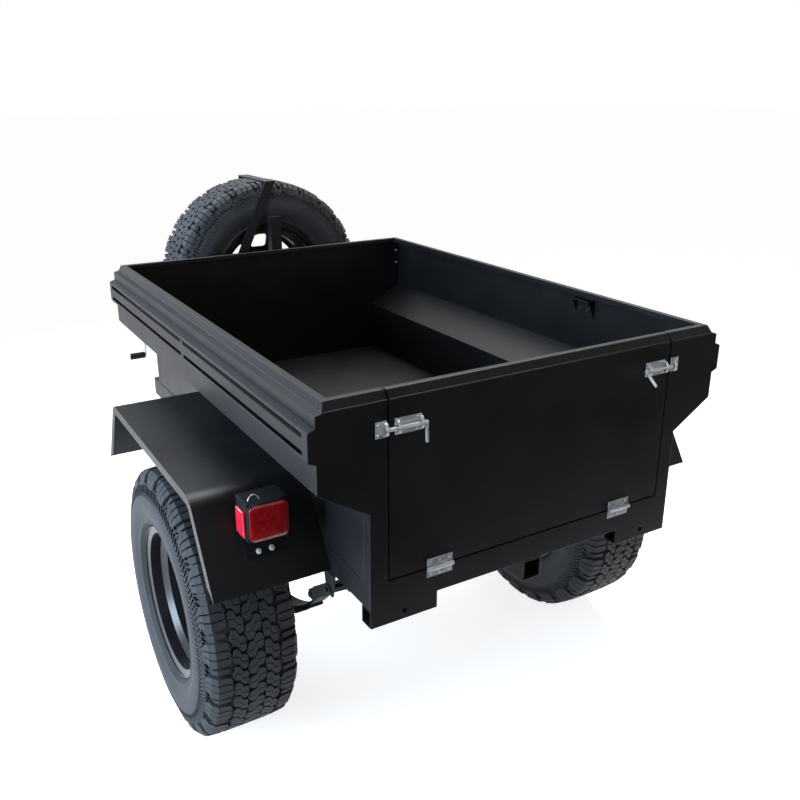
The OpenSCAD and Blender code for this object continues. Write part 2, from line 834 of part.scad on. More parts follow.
hub_in = wheel_x - disc_in - 65;
hub_out = wheel_x + 25;

module axle() {
    beam = hub_in - 12;
    color(black) at_axle() {
        translate([0, 0, axle_z]) {
            bar_x(axle_r, -beam, beam);
            bar_x(spindle_r, -hub_out, hub_out);
        }
        both() block([spring_x - leaf_w / 2, -25, seat_z + 0.6], [spring_x + leaf_w / 2, 25, axle_z]);
    }
}

// A ring sector of the spring's curve, between two radii, to a half span
module leaf(r0, r1, half) {
    turn = asin(half / spring_r);
    translate([spring_x - leaf_w / 2, 0, spring_c]) rotate([90, 0, 90]) rotate([0, 0, -90 - turn])
        rotate_extrude(angle = 2 * turn, $fn = 288) translate([r0, 0]) square([r1 - r0, leaf_w]);
}

module leaf_spring(s) {
    color(black) at_axle() on_side(s) difference() {
        union() {
            for (i = [0 : len(leaf_shares) - 1])
                leaf(
                    spring_r + i * leaf_t + (i > 0 ? leaf_gap : 0), spring_r + (i + 1) * leaf_t,
                    leaf_shares[i] * spring_span / 2
                );
            for (d = [-1, 1]) translate([spring_x, d * eye_dy, eye_z])
                bar_x(eye_r, eye_set - leaf_w / 2, leaf_w / 2 - eye_set);
        }
        for (d = [-1, 1]) translate([spring_x, d * eye_dy, eye_z]) bar_x(eye_bore, -leaf_w, leaf_w);
    }
}

// Two plates beside the spring, drawn from a Y and Z outline, at a distance from its edges
module cheeks(gap) {
    for (side = [-1, 1]) {
        near = spring_x + side * (leaf_w / 2 + gap);
        far = near + side * hanger_t;
        across(min(near, far), max(near, far)) children();
    }
}

module spring_hangers() {
    color(black) at_axle() both() {
        cheeks(0.5) polygon([
            [eye_dy - 40, frame_z], [eye_dy + 40, frame_z], [eye_dy + 20, eye_z - 20], [eye_dy - 20, eye_z - 20]
        ]);
        translate([spring_x, eye_dy, eye_z])
            bar_x(pin_r, -leaf_w / 2 - hanger_t - 8, leaf_w / 2 + hanger_t + 8);
        cheeks(0.5) polygon([
            [shackle_dy - eye_dy - 30, frame_z], [shackle_dy - eye_dy + 30, frame_z],
            [shackle_dy - eye_dy + 16, shackle_z - 18], [shackle_dy - eye_dy - 16, shackle_z - 18]
        ]);
        translate([spring_x, shackle_dy - eye_dy, shackle_z])
            bar_x(pin_r, -leaf_w / 2 - 2 * hanger_t - 8, leaf_w / 2 + 2 * hanger_t + 8);
    }
}

module spring_shackles() {
    gap = hanger_t + 1;
    color(black) at_axle() both() difference() {
        union() {
            cheeks(gap) round_quad([
                [-eye_dy - 1, eye_z], [-eye_dy + 1, eye_z],
                [shackle_dy - eye_dy + 1, shackle_z], [shackle_dy - eye_dy - 1, shackle_z]
            ], 15);
            translate([spring_x, -eye_dy, eye_z])
                bar_x(pin_r, -leaf_w / 2 - gap - hanger_t - 6, leaf_w / 2 + gap + hanger_t + 6);
        }
        translate([spring_x, shackle_dy - eye_dy, shackle_z]) bar_x(pin_r + 0.2, -leaf_w, leaf_w);
    }
}

module axle_clamps() {
    rod = 6;
    bow = axle_r + rod + 0.5;
    plate_t = 8;
    plate_z = seat_z - len(leaf_shares) * leaf_t - 0.2 - plate_t;
    rod_l = axle_z - plate_z + 14;
    color(black) at_axle() both() translate([spring_x, 0, 0]) {
        block([-40, -50, plate_z], [40, 50, plate_z + plate_t]);
        for (x = [-1, 1] * (leaf_w / 2 + rod + 1)) translate([x, 0, axle_z]) {
            rotate([90, 0, 90]) rotate_extrude(angle = 180) translate([bow, 0]) circle(rod);
            for (y = [-bow, bow]) translate([0, y, -rod_l]) cylinder(r = rod, h = rod_l);
        }
    }
}

// Wheels, drawn about +Z with the outer face up

module at_wheel(s) {
    at_axle() on_side(s) translate([wheel_x, 0, axle_z]) rotate([0, 90, 0]) children();
}

module at_spare() {
    place() translate([spare_x, spare_y, spare_z]) rotate([-90, 0, 0]) children();
}

module on_bolt_circle() {
    for (i = [0 : bolts - 1]) rotate([0, 0, i * 360 / bolts]) translate([bolt_circle_r, 0, 0]) children();
}

// Wheel bolts through the disc with their nuts on its face
module wheel_bolts() {
    on_bolt_circle() {
        translate([0, 0, -disc_in - 2]) cylinder(r = 6.3, h = disc_t + 2);
        translate([0, 0, disc_face]) cylinder(r = 12, h = 20, $fn = 6);
    }
}

module hub_form() {
    low = hub_in - wheel_x;
    high = hub_out - wheel_x;
    difference() {
        union() {
            translate([0, 0, low]) cylinder(r = 42, h = -disc_in - low);
            translate([0, 0, -disc_in - 14]) cylinder(r = 80, h = 14);
            translate([0, 0, -disc_in - 1]) cylinder(r = 40, h = 32);
            translate([0, 0, high - 12]) cylinder(r = 32, h = 20);
            wheel_bolts();
        }
        translate([0, 0, low - 1]) cylinder(r = spindle_r + run_gap, h = high - low + 2);
    }
}

module rim_form() {
    window_r = [138, 166];
    difference() {
        union() {
            rotate_extrude() polygon(folded(barrel_path, -rim_t));
            rotate_extrude() polygon(folded(disc_path, disc_t));
        }
        for (i = [0 : windows - 1]) rotate([0, 0, i * 360 / windows])
            translate([0, 0, disc_face]) linear_extrude(disc_rise + 20) {
                span = 360 / windows * 0.21;
                round_quad([
                    for (c = [[0, -1], [1, -1], [1, 1], [0, 1]])
                        window_r[c[0]] * [cos(c[1] * span), sin(c[1] * span)]
                ], 13);
            }
        on_bolt_circle() translate([0, 0, -disc_in - 1]) cylinder(r = 7.5, h = disc_t + 2);
    }
}

// Slots between the shoulder lugs, half a pitch apart on the two sides
module lug_slots() {
    for (side = [0, 1], i = [0 : lugs - 1])
        mirror([0, 0, side]) rotate([0, 0, (i + side / 2) * 360 / lugs])
            translate([tyre_d / 2 - lug_depth, -lug_slot / 2, tread_w / 2 - 40]) rotate([0, -32, 0])
                cube([50, lug_slot, 90]);
}

module carcass() {
    crown = tyre_d / 2;
    bulge = 0.475 * (crown - bead_r);
    wall = 17;
    mid_r = crown - 0.535 * (crown - bead_r);
    mid_x = tyre_w / 2 - bulge;
    bead = [bead_r + 0.3, rim_hx - 43, rim_hx - 13.5];
    rotate_extrude($fn = 96) {
        difference() {
            union() {
                for (x = [-mid_x, mid_x]) translate([mid_r, x]) circle(bulge);
                translate([mid_r, -mid_x]) square([bulge, 2 * mid_x]);
                polygon([
                    [mid_r, -tread_w / 2], [crown - 22, -tread_w / 2 - 8], [crown, -tread_w / 2 + 16],
                    [crown, tread_w / 2 - 16], [crown - 22, tread_w / 2 + 8], [mid_r, tread_w / 2]
                ]);
            }
            for (x = [-mid_x, mid_x]) translate([mid_r, x]) circle(bulge - wall);
            translate([bead[0] - 30, -mid_x]) square([mid_r - bead[0] + 30 + bulge - wall, 2 * mid_x]);
            translate([0, -tyre_w]) square([bead[0], 2 * tyre_w]);
            for (x = [-tyre_w, bead[2]]) translate([0, x]) square([flange_r + 1, tyre_w - bead[2]]);
        }
        for (s = [-1, 1]) translate([bead[0], s > 0 ? bead[1] : -bead[2]]) square([24, bead[2] - bead[1]]);
    }
}

module tyre_form() {
    difference() {
        carcass();
        lug_slots();
    }
}

module hub(s) { color(jack_grey) at_wheel(s) hub_form(); }
module rim(s) { color(wheel_black) at_wheel(s) rim_form(); }
module tyre(s) { color(rubber) at_wheel(s) tyre_form(); }

// Spare

module rim_spare() { color(wheel_black) at_spare() rim_form(); }
module tyre_spare() { color(rubber) at_spare() tyre_form(); }

module spare_carrier() {
    post_top = spare_z + post_over;
    color(black) {
        place() translate([spare_x, 0, 0]) block([-strap_w / 2, post_y, floor_z], [strap_w / 2, post_y + post_d, post_top]);
        at_spare() {
            translate([0, 0, post_y + post_d - spare_y - 1])
                cylinder(r = 40, h = spare_y - post_y - post_d - disc_in + 1);
            translate([0, 0, -disc_in - 14]) cylinder(r = 80, h = 14);
            wheel_bolts();
        }
    }
}

module spare_strap() {
    lean = strap_lean * (strap_top - floor_z);
    hook_l = tyre_w + 2 * (spare_y - tyre_w / 2 - strap_y);
    half = strap_w / 2;
    color(black) place() translate([spare_x, 0, 0]) {
        along(strap_y, strap_y + strap_t) polygon([
            [-half - lean, floor_z], [half - lean, floor_z], [half, strap_top + strap_t], [-half, strap_top + strap_t]
        ]);
        block([-half, strap_y, strap_top], [half, strap_y + hook_l, strap_top + strap_t]);
        block([-half, strap_y + hook_l - strap_t, strap_top - 60], [half, strap_y + hook_l, strap_top + strap_t]);
    }
}

floor_pan();
side_wall(-1);  // side_wall_left
side_wall(1);  // side_wall_right
front_wall();
rear_frame();
tie_rail(-1);  // tie_rail_left
tie_rail(1);  // tie_rail_right
wall_brackets();
tailgate();
hinge_gate_leaves();
hinge_sill_leaves();
latch_cases();
latch_bolts();
latch_keepers();
fender(-1);  // fender_left
fender(1);  // fender_right
lamp_housings();
lamp_lenses();
frame_rail(-1);  // frame_rail_left
frame_rail(1);  // frame_rail_right
crossmembers();
corner_sockets();
receiver();
drawbar(-1);  // drawbar_left
drawbar(1);  // drawbar_right
coupler();
coupler_lever();
jack_body();
jack_crank();
jack_leg();
axle();
leaf_spring(-1);  // leaf_spring_left
leaf_spring(1);  // leaf_spring_right
spring_hangers();
spring_shackles();
axle_clamps();
hub(-1);  // hub_left
rim(-1);  // rim_left
tyre(-1);  // tyre_left
hub(1);  // hub_right
rim(1);  // rim_right
tyre(1);  // tyre_right
spare_carrier();
spare_strap();
rim_spare();
tyre_spare();
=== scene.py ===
"""Looks of an off-road cargo trailer, laid out as an add-on.

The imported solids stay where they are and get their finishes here. Tyres with their tread, lamp lenses,
fasteners, weld beads and other trim are built round them, and a plain studio is set up last.
Lengths are metres, with +Y forward, +X right and +Z up.
"""
import math

import bpy
from bpy.props import FloatProperty, FloatVectorProperty, IntProperty, PointerProperty
from bpy.types import Operator, Panel, PropertyGroup
from mathutils import Matrix, Vector


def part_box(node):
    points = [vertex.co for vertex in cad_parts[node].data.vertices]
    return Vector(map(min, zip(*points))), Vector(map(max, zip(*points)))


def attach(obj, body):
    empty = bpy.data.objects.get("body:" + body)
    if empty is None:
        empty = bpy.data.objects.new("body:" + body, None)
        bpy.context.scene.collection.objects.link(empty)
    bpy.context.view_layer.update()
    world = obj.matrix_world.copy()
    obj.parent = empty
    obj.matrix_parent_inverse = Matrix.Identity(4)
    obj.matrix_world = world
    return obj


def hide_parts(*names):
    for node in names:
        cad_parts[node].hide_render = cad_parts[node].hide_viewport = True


bl_info = {
    "name": "Off-road cargo trailer",
    "version": (1, 0, 0),
    "blender": (4, 5, 0),
    "location": "3D View > Sidebar > Trailer",
    "description": "Finishes, tyres, lamps, fasteners and studio of an off-road cargo trailer",
    "category": "Object",
}

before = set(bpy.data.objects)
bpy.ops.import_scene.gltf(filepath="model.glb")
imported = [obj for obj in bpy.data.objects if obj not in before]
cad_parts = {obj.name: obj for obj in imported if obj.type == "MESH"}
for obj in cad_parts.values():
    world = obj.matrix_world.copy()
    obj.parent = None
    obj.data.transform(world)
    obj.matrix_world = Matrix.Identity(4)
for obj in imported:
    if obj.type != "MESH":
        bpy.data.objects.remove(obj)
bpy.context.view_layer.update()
MM = 0.001
SIDES = (("left", -1), ("right", 1))

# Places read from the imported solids
TYRE_LOW, TYRE_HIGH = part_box("tyre_right")
WHEEL_CENTRE = (TYRE_LOW + TYRE_HIGH) / 2
CROWN_R = (TYRE_HIGH.z - TYRE_LOW.z) / 2
SPARE_LOW, SPARE_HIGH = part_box("tyre_spare")
SPARE_CENTRE = (SPARE_LOW + SPARE_HIGH) / 2
GATE_LOW, GATE_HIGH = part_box("tailgate")
REAR_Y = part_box("rear_frame")[0].y
FRONT_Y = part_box("front_wall")[1].y
FENDER_LOW, FENDER_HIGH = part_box("fender_right")
RAIL_LOW, RAIL_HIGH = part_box("frame_rail_right")
# Direction up the fender's rear flap, and the drawbar's angle
FLAP = Vector((0, 143, 231)).normalized()
DRAW_ANGLE = math.radians(25)
# Height of the rear rim's leaning top above its foot
RIM_RISE = 21.5 * MM


# Sizes and colours that a user would change

def colour(name, words, value):
    return FloatVectorProperty(name=name, description=words, subtype="COLOR", size=3, min=0, max=1, default=value)


def length(name, words, value):
    return FloatProperty(name=name, description=words, unit="LENGTH", min=0, default=value)


def number(name, words, value, **limits):
    return FloatProperty(name=name, description=words, default=value, **limits)


def count(name, words, low, high, value):
    return IntProperty(name=name, description=words, min=low, max=high, default=value)


class TrailerColours(PropertyGroup):
    """Colours of the finishes."""

    coat: colour("Powder coat", "Black of the coated steel", (0.005, 0.0052, 0.006))
    coat_haze: colour("Coat haze", "Paler tone in the coat", (0.0086, 0.009, 0.0104))
    wheel: colour("Wheel black", "Paint of the wheels", (0.008, 0.008, 0.0095))
    rubber: colour("Rubber", "Tread and sidewalls", (0.016, 0.0165, 0.0185))
    rubber_dust: colour("Rubber dust", "Bloom on the sidewalls", (0.041, 0.043, 0.049))
    zinc: colour("Zinc", "Plated hinges and bolts", (0.8, 0.81, 0.83))
    # The lens red, and the darker red that paints shade inside the lens
    lens: colour("Lens", "Tail lamps", (0.46, 0.006, 0.012))
    lens_painted_shade: colour("Lens depth", "Shadows inside the lens", (0.13, 0.0015, 0.004))
    reflector: colour("Reflector", "Side reflectors of the lamps", (0.74, 0.02, 0.045))
    plastic: colour("Lamp plastic", "Housings and grip", (0.006, 0.006, 0.007))
    iron: colour("Hub iron", "Hubs", (0.05, 0.05, 0.053))


class TrailerTyre(PropertyGroup):
    """Tread of the tyres."""

    lugs: count("Lugs", "Shoulder lugs on each side", 18, 28, 24)
    chevrons: count("Chevrons", "Sidewall chevrons to a lug", 1, 8, 6)
    chamfer: length("Block edge", "Bevel on the tread blocks", 1.6 * MM)
    sipe: length("Sipe", "Width of the cut across a block", 1.5 * MM)
    steps: count("Steps", "Steps round the carcass", 64, 256, 160)


class TrailerTrim(PropertyGroup):
    """Edges, fasteners and welds."""

    edge: length("Edge", "Rounding of sheet edges", 1.1 * MM)
    fold: length("Fold", "Rounding of the folded end panels", 2.2 * MM)
    tube_edge: length("Tube edge", "Rounding of tube corners", 2.6 * MM)
    ledge: length("Ledge", "Radius of the ledge under the rear rim", 1.8 * MM)
    bead: length("Weld", "Radius of a weld bead", 3.2 * MM)
    screw: length("Screw", "Head radius of the small screws", 3.6 * MM)
    bolt: length("Bolt", "Corner radius of the hexagon heads", 9.5 * MM)


class TrailerStudio(PropertyGroup):
    """Camera and light."""

    eye: FloatVectorProperty(
        name="Camera", description="Place of the camera", subtype="TRANSLATION",
        default=(-1.3847, REAR_Y - 1.5822, 1.9334),
    )
    bearing: number("Bearing", "Turn to the right of forward, degrees", 30.17)
    dip: number("Dip", "Tilt below level, degrees", 19.08)
    roll: number("Roll", "Roll about the view, degrees", -0.21)
    lens: number("Lens", "Focal length, millimetres", 38.65)
    shift_x: number("Shift X", "Sideways shift of the frame", 0.0186)
    shift_y: number("Shift Y", "Upward shift of the frame", -0.0243)
    side_light: number("Side light", "Power of the left softbox", 100, min=0)
    front_light: number("Front light", "Power of the left front softbox", 26, min=0)
    top_light: number("Top light", "Power of the overhead softbox", 120, min=0)
    world_light: number("Overhead", "Brightness of the ceiling", 0.2, min=0)
    glow: number("Floor glow", "Whiteness that the floor adds to its shade", 0.78, min=0)


# Mesh forms

def facing(point, direction):
    """A place whose own Z points along a direction."""
    return Matrix.Translation(Vector(point)) @ Vector(direction).to_track_quat("Z", "Y").to_matrix().to_4x4()


def ring(place, radius, height, steps):
    return [
        place @ Vector((radius * math.cos(math.tau * i / steps), radius * math.sin(math.tau * i / steps), height))
        for i in range(steps)
    ]


class Form:
    """Points and faces of one piece, gathered from simple forms."""

    def __init__(self):
        self.points = []
        self.faces = []

    def skin(self, rings, caps=True, loop=False):
        """Joins a run of closed rings, with end caps or as a loop."""
        first, size, count = len(self.points), len(rings[0]), len(rings)
        for points in rings:
            self.points.extend(Vector(p) for p in points)
        for i in range(count if loop else count - 1):
            low = first + i * size
            high = first + (i + 1) % count * size
            for j in range(size):
                k = (j + 1) % size
                self.faces.append((low + j, low + k, high + k, high + j))
        if caps and not loop:
            self.faces.append(tuple(range(first + size - 1, first - 1, -1)))
            last = first + (count - 1) * size
            self.faces.append(tuple(range(last, last + size)))

    def turn(self, profile, place, steps=24, loop=False):
        """Turns a profile of (radius, height) about a place's own Z."""
        self.skin([ring(place, r, h, steps) for r, h in profile], loop=loop)

    def tube(self, path, radius, sides=8):
        """A round bar along a path, with one radius or one for each point."""
        path = [Vector(p) for p in path]
        radii = radius if isinstance(radius, (list, tuple)) else [radius] * len(path)
        side = None
        rings = []
        for i, point in enumerate(path):
            ahead = (path[min(i + 1, len(path) - 1)] - path[max(i - 1, 0)]).normalized()
            side = ahead.orthogonal() if side is None else side - ahead * side.dot(ahead)
            side.normalize()
            up = ahead.cross(side)
            rings.append([
                point + radii[i] * (math.cos(a) * side + math.sin(a) * up)
                for a in (math.tau * j / sides for j in range(sides))
            ])
        self.skin(rings)

    def slab(self, low, high, edge):
        """A box with its corners and edges bevelled."""
        low, high = Vector(low), Vector(high)

        def outline(inset, z):
            x0, y0, x1, y1 = low.x + inset, low.y + inset, high.x - inset, high.y - inset
            return [
                (x0 + edge, y0, z), (x1 - edge, y0, z), (x1, y0 + edge, z), (x1, y1 - edge, z),
                (x1 - edge, y1, z), (x0 + edge, y1, z), (x0, y1 - edge, z), (x0, y0 + edge, z),
            ]

        self.skin([
            outline(edge, low.z), outline(0, low.z + edge), outline(0, high.z - edge), outline(edge, high.z)
        ])

    def hex_head(self, point, direction, radius, height):
        """A washer under a hexagon head with a bevelled crown."""
        place = facing(point, direction)
        self.turn([(radius * 1.3, 0), (radius * 1.3, height * 0.16), (radius * 1.2, height * 0.2)], place)
        self.turn([(radius, height * 0.2), (radius, height * 0.86), (radius * 0.85, height)], place, steps=6)

    def pan_head(self, point, direction, radius, height):
        """A low round screw head with a driver's recess."""
        place = facing(point, direction)
        self.turn([
            (radius, 0), (radius, height * 0.35), (radius * 0.84, height * 0.8), (radius * 0.5, height),
            (radius * 0.3, height), (radius * 0.22, height * 0.55),
        ], place, steps=16)

    def weld(self, start, end, radius, pitch=4.5 * MM):
        """A weld bead between two points, with the ripple of its passes."""
        start, end = Vector(start), Vector(end)
        count = max(4, round((end - start).length / pitch))
        path = [start.lerp(end, i / (2 * count)) for i in range(2 * count + 1)]
        self.tube(path, [radius * (0.86 if i % 2 else 1.0) for i in range(len(path))], sides=8)


def add_piece(form, name, body, finish_name, replaces=(), crease=35):
    """Makes one mesh piece of a form that rides on a body."""
    mesh = bpy.data.meshes.new(name)
    mesh.from_pydata(form.points, [], form.faces)
    mesh.update()
    mesh.polygons.foreach_set("use_smooth", [True] * len(mesh.polygons))
    mesh.set_sharp_from_angle(angle=math.radians(crease))
    mesh.materials.append(finish(finish_name))
    piece = bpy.data.objects.new(name, mesh)
    bpy.context.scene.collection.objects.link(piece)
    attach(piece, body)
    if replaces:
        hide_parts(*replaces)


# Shader groups

def shader_group(name, inputs, outputs):
    """An empty group with its sockets, its input node and its output node."""
    tree = bpy.data.node_groups.new(name, "ShaderNodeTree")
    for label, value in inputs:
        socket = tree.interface.new_socket(label, in_out="INPUT", socket_type="NodeSocketFloat")
        socket.default_value = value
    for label in outputs:
        tree.interface.new_socket(label, in_out="OUTPUT", socket_type="NodeSocketFloat")
    return tree, tree.nodes.new("NodeGroupInput"), tree.nodes.new("NodeGroupOutput")


def math_node(tree, operation, first, second, clamp=False):
    """A Math node whose two inputs are sockets or numbers."""
    node = tree.nodes.new("ShaderNodeMath")
    node.operation = operation
    node.use_clamp = clamp
    for socket, value in zip(node.inputs, (first, second)):
        if isinstance(value, (int, float)):
            socket.default_value = value
        else:
            tree.links.new(value, socket)
    return node.outputs[0]


def noise(tree, point, scale, detail=2.0, roughness=0.5):
    """A noise value at a point, with its scale a socket or a number."""
    node = tree.nodes.new("ShaderNodeTexNoise")
    node.inputs["Detail"].default_value = detail
    node.inputs["Roughness"].default_value = roughness
    tree.links.new(point, node.inputs["Vector"])
    if isinstance(scale, (int, float)):
        node.inputs["Scale"].default_value = scale
    else:
        tree.links.new(scale, node.inputs["Scale"])
    return node.outputs["Fac"]


def grain_group():
    """Fine surface grain, and a slow tone that drifts over the piece."""
    tree, given, result = shader_group("Surface grain", [("Scale", 700), ("Drift", 5)], ["Height", "Tone"])
    point = tree.nodes.new("ShaderNodeTexCoord").outputs["Object"]
    fine = noise(tree, point, given.outputs["Scale"], detail=1.5)
    coarse = noise(tree, point, math_node(tree, "MULTIPLY", given.outputs["Scale"], 0.31), detail=1.0)
    tree.links.new(math_node(tree, "ADD", fine, coarse), result.inputs["Height"])
    drift = noise(tree, point, given.outputs["Drift"], detail=4.0, roughness=0.6)
    stretched = math_node(tree, "SUBTRACT", math_node(tree, "MULTIPLY", drift, 2.2), 0.6, clamp=True)
    tree.links.new(stretched, result.inputs["Tone"])
    return tree


def dust_group():
    """Dust that settles on faces turned up, broken by noise."""
    tree, given, result = shader_group("Settled dust", [("Amount", 0.3), ("Scale", 18)], ["Mask"])
    point = tree.nodes.new("ShaderNodeTexCoord").outputs["Object"]
    normal = tree.nodes.new("ShaderNodeSeparateXYZ")
    tree.links.new(tree.nodes.new("ShaderNodeNewGeometry").outputs["Normal"], normal.inputs[0])
    upward = math_node(tree, "MAXIMUM", normal.outputs["Z"], 0.0)
    cloud = noise(tree, point, given.outputs["Scale"], detail=5.0, roughness=0.65)
    broken = math_node(tree, "SUBTRACT", cloud, 0.3, clamp=True)
    mask = math_node(tree, "MULTIPLY", math_node(tree, "MULTIPLY", upward, broken), given.outputs["Amount"])
    tree.links.new(mask, result.inputs["Mask"])
    return tree


def scuff_group():
    """Fine handling scratches, long in one direction."""
    tree, given, result = shader_group("Scuffs", [("Scale", 60), ("Amount", 0.5)], ["Mask"])
    point = tree.nodes.new("ShaderNodeTexCoord").outputs["Object"]
    stretch = tree.nodes.new("ShaderNodeMapping")
    stretch.inputs["Rotation"].default_value = (0.4, 0.9, 0.3)
    stretch.inputs["Scale"].default_value = (1.0, 14.0, 14.0)
    tree.links.new(point, stretch.inputs["Vector"])
    streak = noise(tree, stretch.outputs["Vector"], given.outputs["Scale"], detail=3.0, roughness=0.7)
    sharp = math_node(tree, "SUBTRACT", streak, 0.58, clamp=True)
    strong = math_node(tree, "MULTIPLY", math_node(tree, "MULTIPLY", sharp, 4.0), given.outputs["Amount"], clamp=True)
    tree.links.new(strong, result.inputs["Mask"])
    return tree


def use_group(tree, name, maker, **values):
    """Places a shared group in a material, making it once."""
    node = tree.nodes.new("ShaderNodeGroup")
    node.node_tree = bpy.data.node_groups.get(name) or maker()
    for label, value in values.items():
        node.inputs[label].default_value = value
    return node


# Materials

DUST = (0.16, 0.165, 0.17)


def scaled(value, factor):
    """A colour made paler or darker."""
    return [min(1.0, c * factor) for c in value]


def new_material(name, **constants):
    """A material, its node tree and its Principled shader, with plain values set on the shader."""
    material = bpy.data.materials.new(name)
    material.use_nodes = True
    tree = material.node_tree
    shader = tree.nodes["Principled BSDF"]
    for label, value in constants.items():
        shader.inputs[label.replace("_", " ")].default_value = value
    return material, tree, shader


def mix_colour(tree, mask, first, second):
    """A colour between two, each a socket or a triple."""
    node = tree.nodes.new("ShaderNodeMix")
    node.data_type = "RGBA"
    tree.links.new(mask, node.inputs["Factor"])
    for socket, value in ((node.inputs[6], first), (node.inputs[7], second)):
        if isinstance(value, bpy.types.NodeSocket):
            tree.links.new(value, socket)
        else:
            socket.default_value = (*value, 1.0)
    return node.outputs[2]


def between(tree, mask, low, high):
    """A value between two, by a mask."""
    node = tree.nodes.new("ShaderNodeMapRange")
    node.inputs["To Min"].default_value = low
    node.inputs["To Max"].default_value = high
    tree.links.new(mask, node.inputs["Value"])
    return node.outputs["Result"]


def bump(tree, shader, height, strength, distance):
    node = tree.nodes.new("ShaderNodeBump")
    node.inputs["Strength"].default_value = strength
    node.inputs["Distance"].default_value = distance
    tree.links.new(height, node.inputs["Height"])
    tree.links.new(node.outputs["Normal"], shader.inputs["Normal"])


# Coated and moulded finishes: dark tone, pale tone or its factor, range of roughness, specular level,
# the grain's scale, relief and drift, and the dust's amount and scale
COATS = {
    "powder_coat": ("coat", "coat_haze", (0.36, 0.46), 0.25, (620, 0.1 * MM, 5), (0.05, 18)),
    "spring_paint": ("coat", "coat_haze", (0.5, 0.62), 0.35, (420, 0.1 * MM, 5), (0.3, 18)),
    "wheel_paint": ("wheel", 1.5, (0.26, 0.36), 0.5, (380, 0.01 * MM, 5), (0.05, 18)),
    "lamp_plastic": ("plastic", 1.6, (0.5, 0.62), 0.14, (900, 0.06 * MM, 5), (0.0, 18)),
    "hub_iron": ("iron", 1.7, (0.5, 0.7), 0.4, (260, 0.2 * MM, 5), (0.3, 18)),
    "tyre_rubber": ("rubber", "rubber_dust", (0.6, 0.76), 0.3, (300, 0.22 * MM, 9), (0.25, 30)),
}


def coated(name, colours):
    """A coated or moulded surface: two tones, a fine grain and a little settled dust."""
    tone, pale, rough, specular, (grain, relief, drift), (dust, dust_scale) = COATS[name]
    dark = getattr(colours, tone)
    pale = getattr(colours, pale) if isinstance(pale, str) else scaled(dark, pale)
    material, tree, shader = new_material(name, Specular_IOR_Level=specular)
    surface = use_group(tree, "Surface grain", grain_group, Scale=grain, Drift=drift)
    settled = use_group(tree, "Settled dust", dust_group, Amount=dust, Scale=dust_scale)
    mixed = mix_colour(tree, surface.outputs["Tone"], dark, pale)
    tree.links.new(mix_colour(tree, settled.outputs["Mask"], mixed, DUST), shader.inputs["Base Color"])
    tree.links.new(between(tree, surface.outputs["Tone"], *rough), shader.inputs["Roughness"])
    bump(tree, shader, surface.outputs["Height"], 0.5, relief)
    return material


def plated(name, metal, rough, scuff_scale):
    """Bright plated steel with handling scratches."""
    material, tree, shader = new_material(name, Metallic=0.6)
    scuffs = use_group(tree, "Scuffs", scuff_group, Scale=scuff_scale, Amount=0.6)
    surface = use_group(tree, "Surface grain", grain_group, Scale=240, Drift=40)
    worn = mix_colour(tree, surface.outputs["Tone"], scaled(metal, 0.72), metal)
    scratched = mix_colour(tree, scuffs.outputs["Mask"], worn, scaled(metal, 1.1))
    tree.links.new(scratched, shader.inputs["Base Color"])
    tree.links.new(between(tree, surface.outputs["Tone"], *rough), shader.inputs["Roughness"])
    bump(tree, shader, surface.outputs["Height"], 0.35, 0.03 * MM)
    return material


def zinc_plate(colours):
    return plated("zinc_plate", colours.zinc, rough=(0.24, 0.4), scuff_scale=90)


def jack_steel(colours):
    return plated("jack_steel", scaled(colours.zinc, 0.42), rough=(0.4, 0.55), scuff_scale=60)


def red_lens(colours):
    # The darker red paints shade inside the lens
    return moulded_red("red_lens", colours.lens_painted_shade, colours.lens)


def red_reflector(colours):
    # A darker copy of the reflector's red paints shade among its prisms
    return moulded_red("red_reflector", scaled(colours.reflector, 0.7), colours.reflector)


def moulded_red(name, deep, clear):
    """Clear moulding over small prisms, with painted shade and painted glints in its colour: broad darker patches, and
    paler red towards the edges of the prisms' cells.
    """
    material, tree, shader = new_material(name, Coat_Weight=0.4, Coat_Roughness=0.05, Roughness=0.25)
    point = tree.nodes.new("ShaderNodeTexCoord").outputs["Object"]
    cells = tree.nodes.new("ShaderNodeTexVoronoi")
    cells.inputs["Scale"].default_value = 210
    tree.links.new(point, cells.inputs["Vector"])
    # Painted shade: broad patches of the darker red
    depth = math_node(tree, "SUBTRACT", noise(tree, point, 42, detail=5.0, roughness=0.75), 0.36)
    # Painted glint: paler towards the edges of the prisms' cells
    painted_glint = math_node(tree, "MULTIPLY", cells.outputs["Distance"], 0.5)
    mask = math_node(tree, "ADD", math_node(tree, "MULTIPLY", depth, 2.4), painted_glint, clamp=True)
    # The painted shade and painted glints set the base colour between the two reds
    tree.links.new(mix_colour(tree, mask, deep, clear), shader.inputs["Base Color"])
    bump(tree, shader, cells.outputs["Distance"], 0.4, 0.4 * MM)
    return material


FINISHES = {
    "zinc_plate": zinc_plate, "jack_steel": jack_steel, "red_lens": red_lens, "red_reflector": red_reflector,
}


def finish(name):
    """A finish by name, made at its first use, labelled finish_ and its name."""
    label = f"finish_{name}"
    if label not in bpy.data.materials:
        colours = bpy.context.scene.trailer_colours
        made = coated(name, colours) if name in COATS else FINISHES[name](colours)
        made.name = label
    return bpy.data.materials[label]


# Folds sharper than this are rounded, and points closer than this are joined
FOLD_ANGLE = math.radians(24)
SAME_POINT = 0.01 * MM


def dress(nodes, finish_name, edge=0.0):
    """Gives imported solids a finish, and rounds their edges without moving them."""
    for name in nodes:
        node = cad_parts[name]
        node.data.materials.clear()
        node.data.materials.append(finish(finish_name))
        if edge:
            weld = node.modifiers.new("seams", "WELD")
            weld.merge_threshold = SAME_POINT
            bevel = node.modifiers.new("edges", "BEVEL")
            bevel.width = edge
            bevel.segments = 2
            bevel.limit_method = "ANGLE"
            bevel.angle_limit = FOLD_ANGLE
            shading = node.modifiers.new("shading", "WEIGHTED_NORMAL")
            shading.keep_sharp = True


# Operators

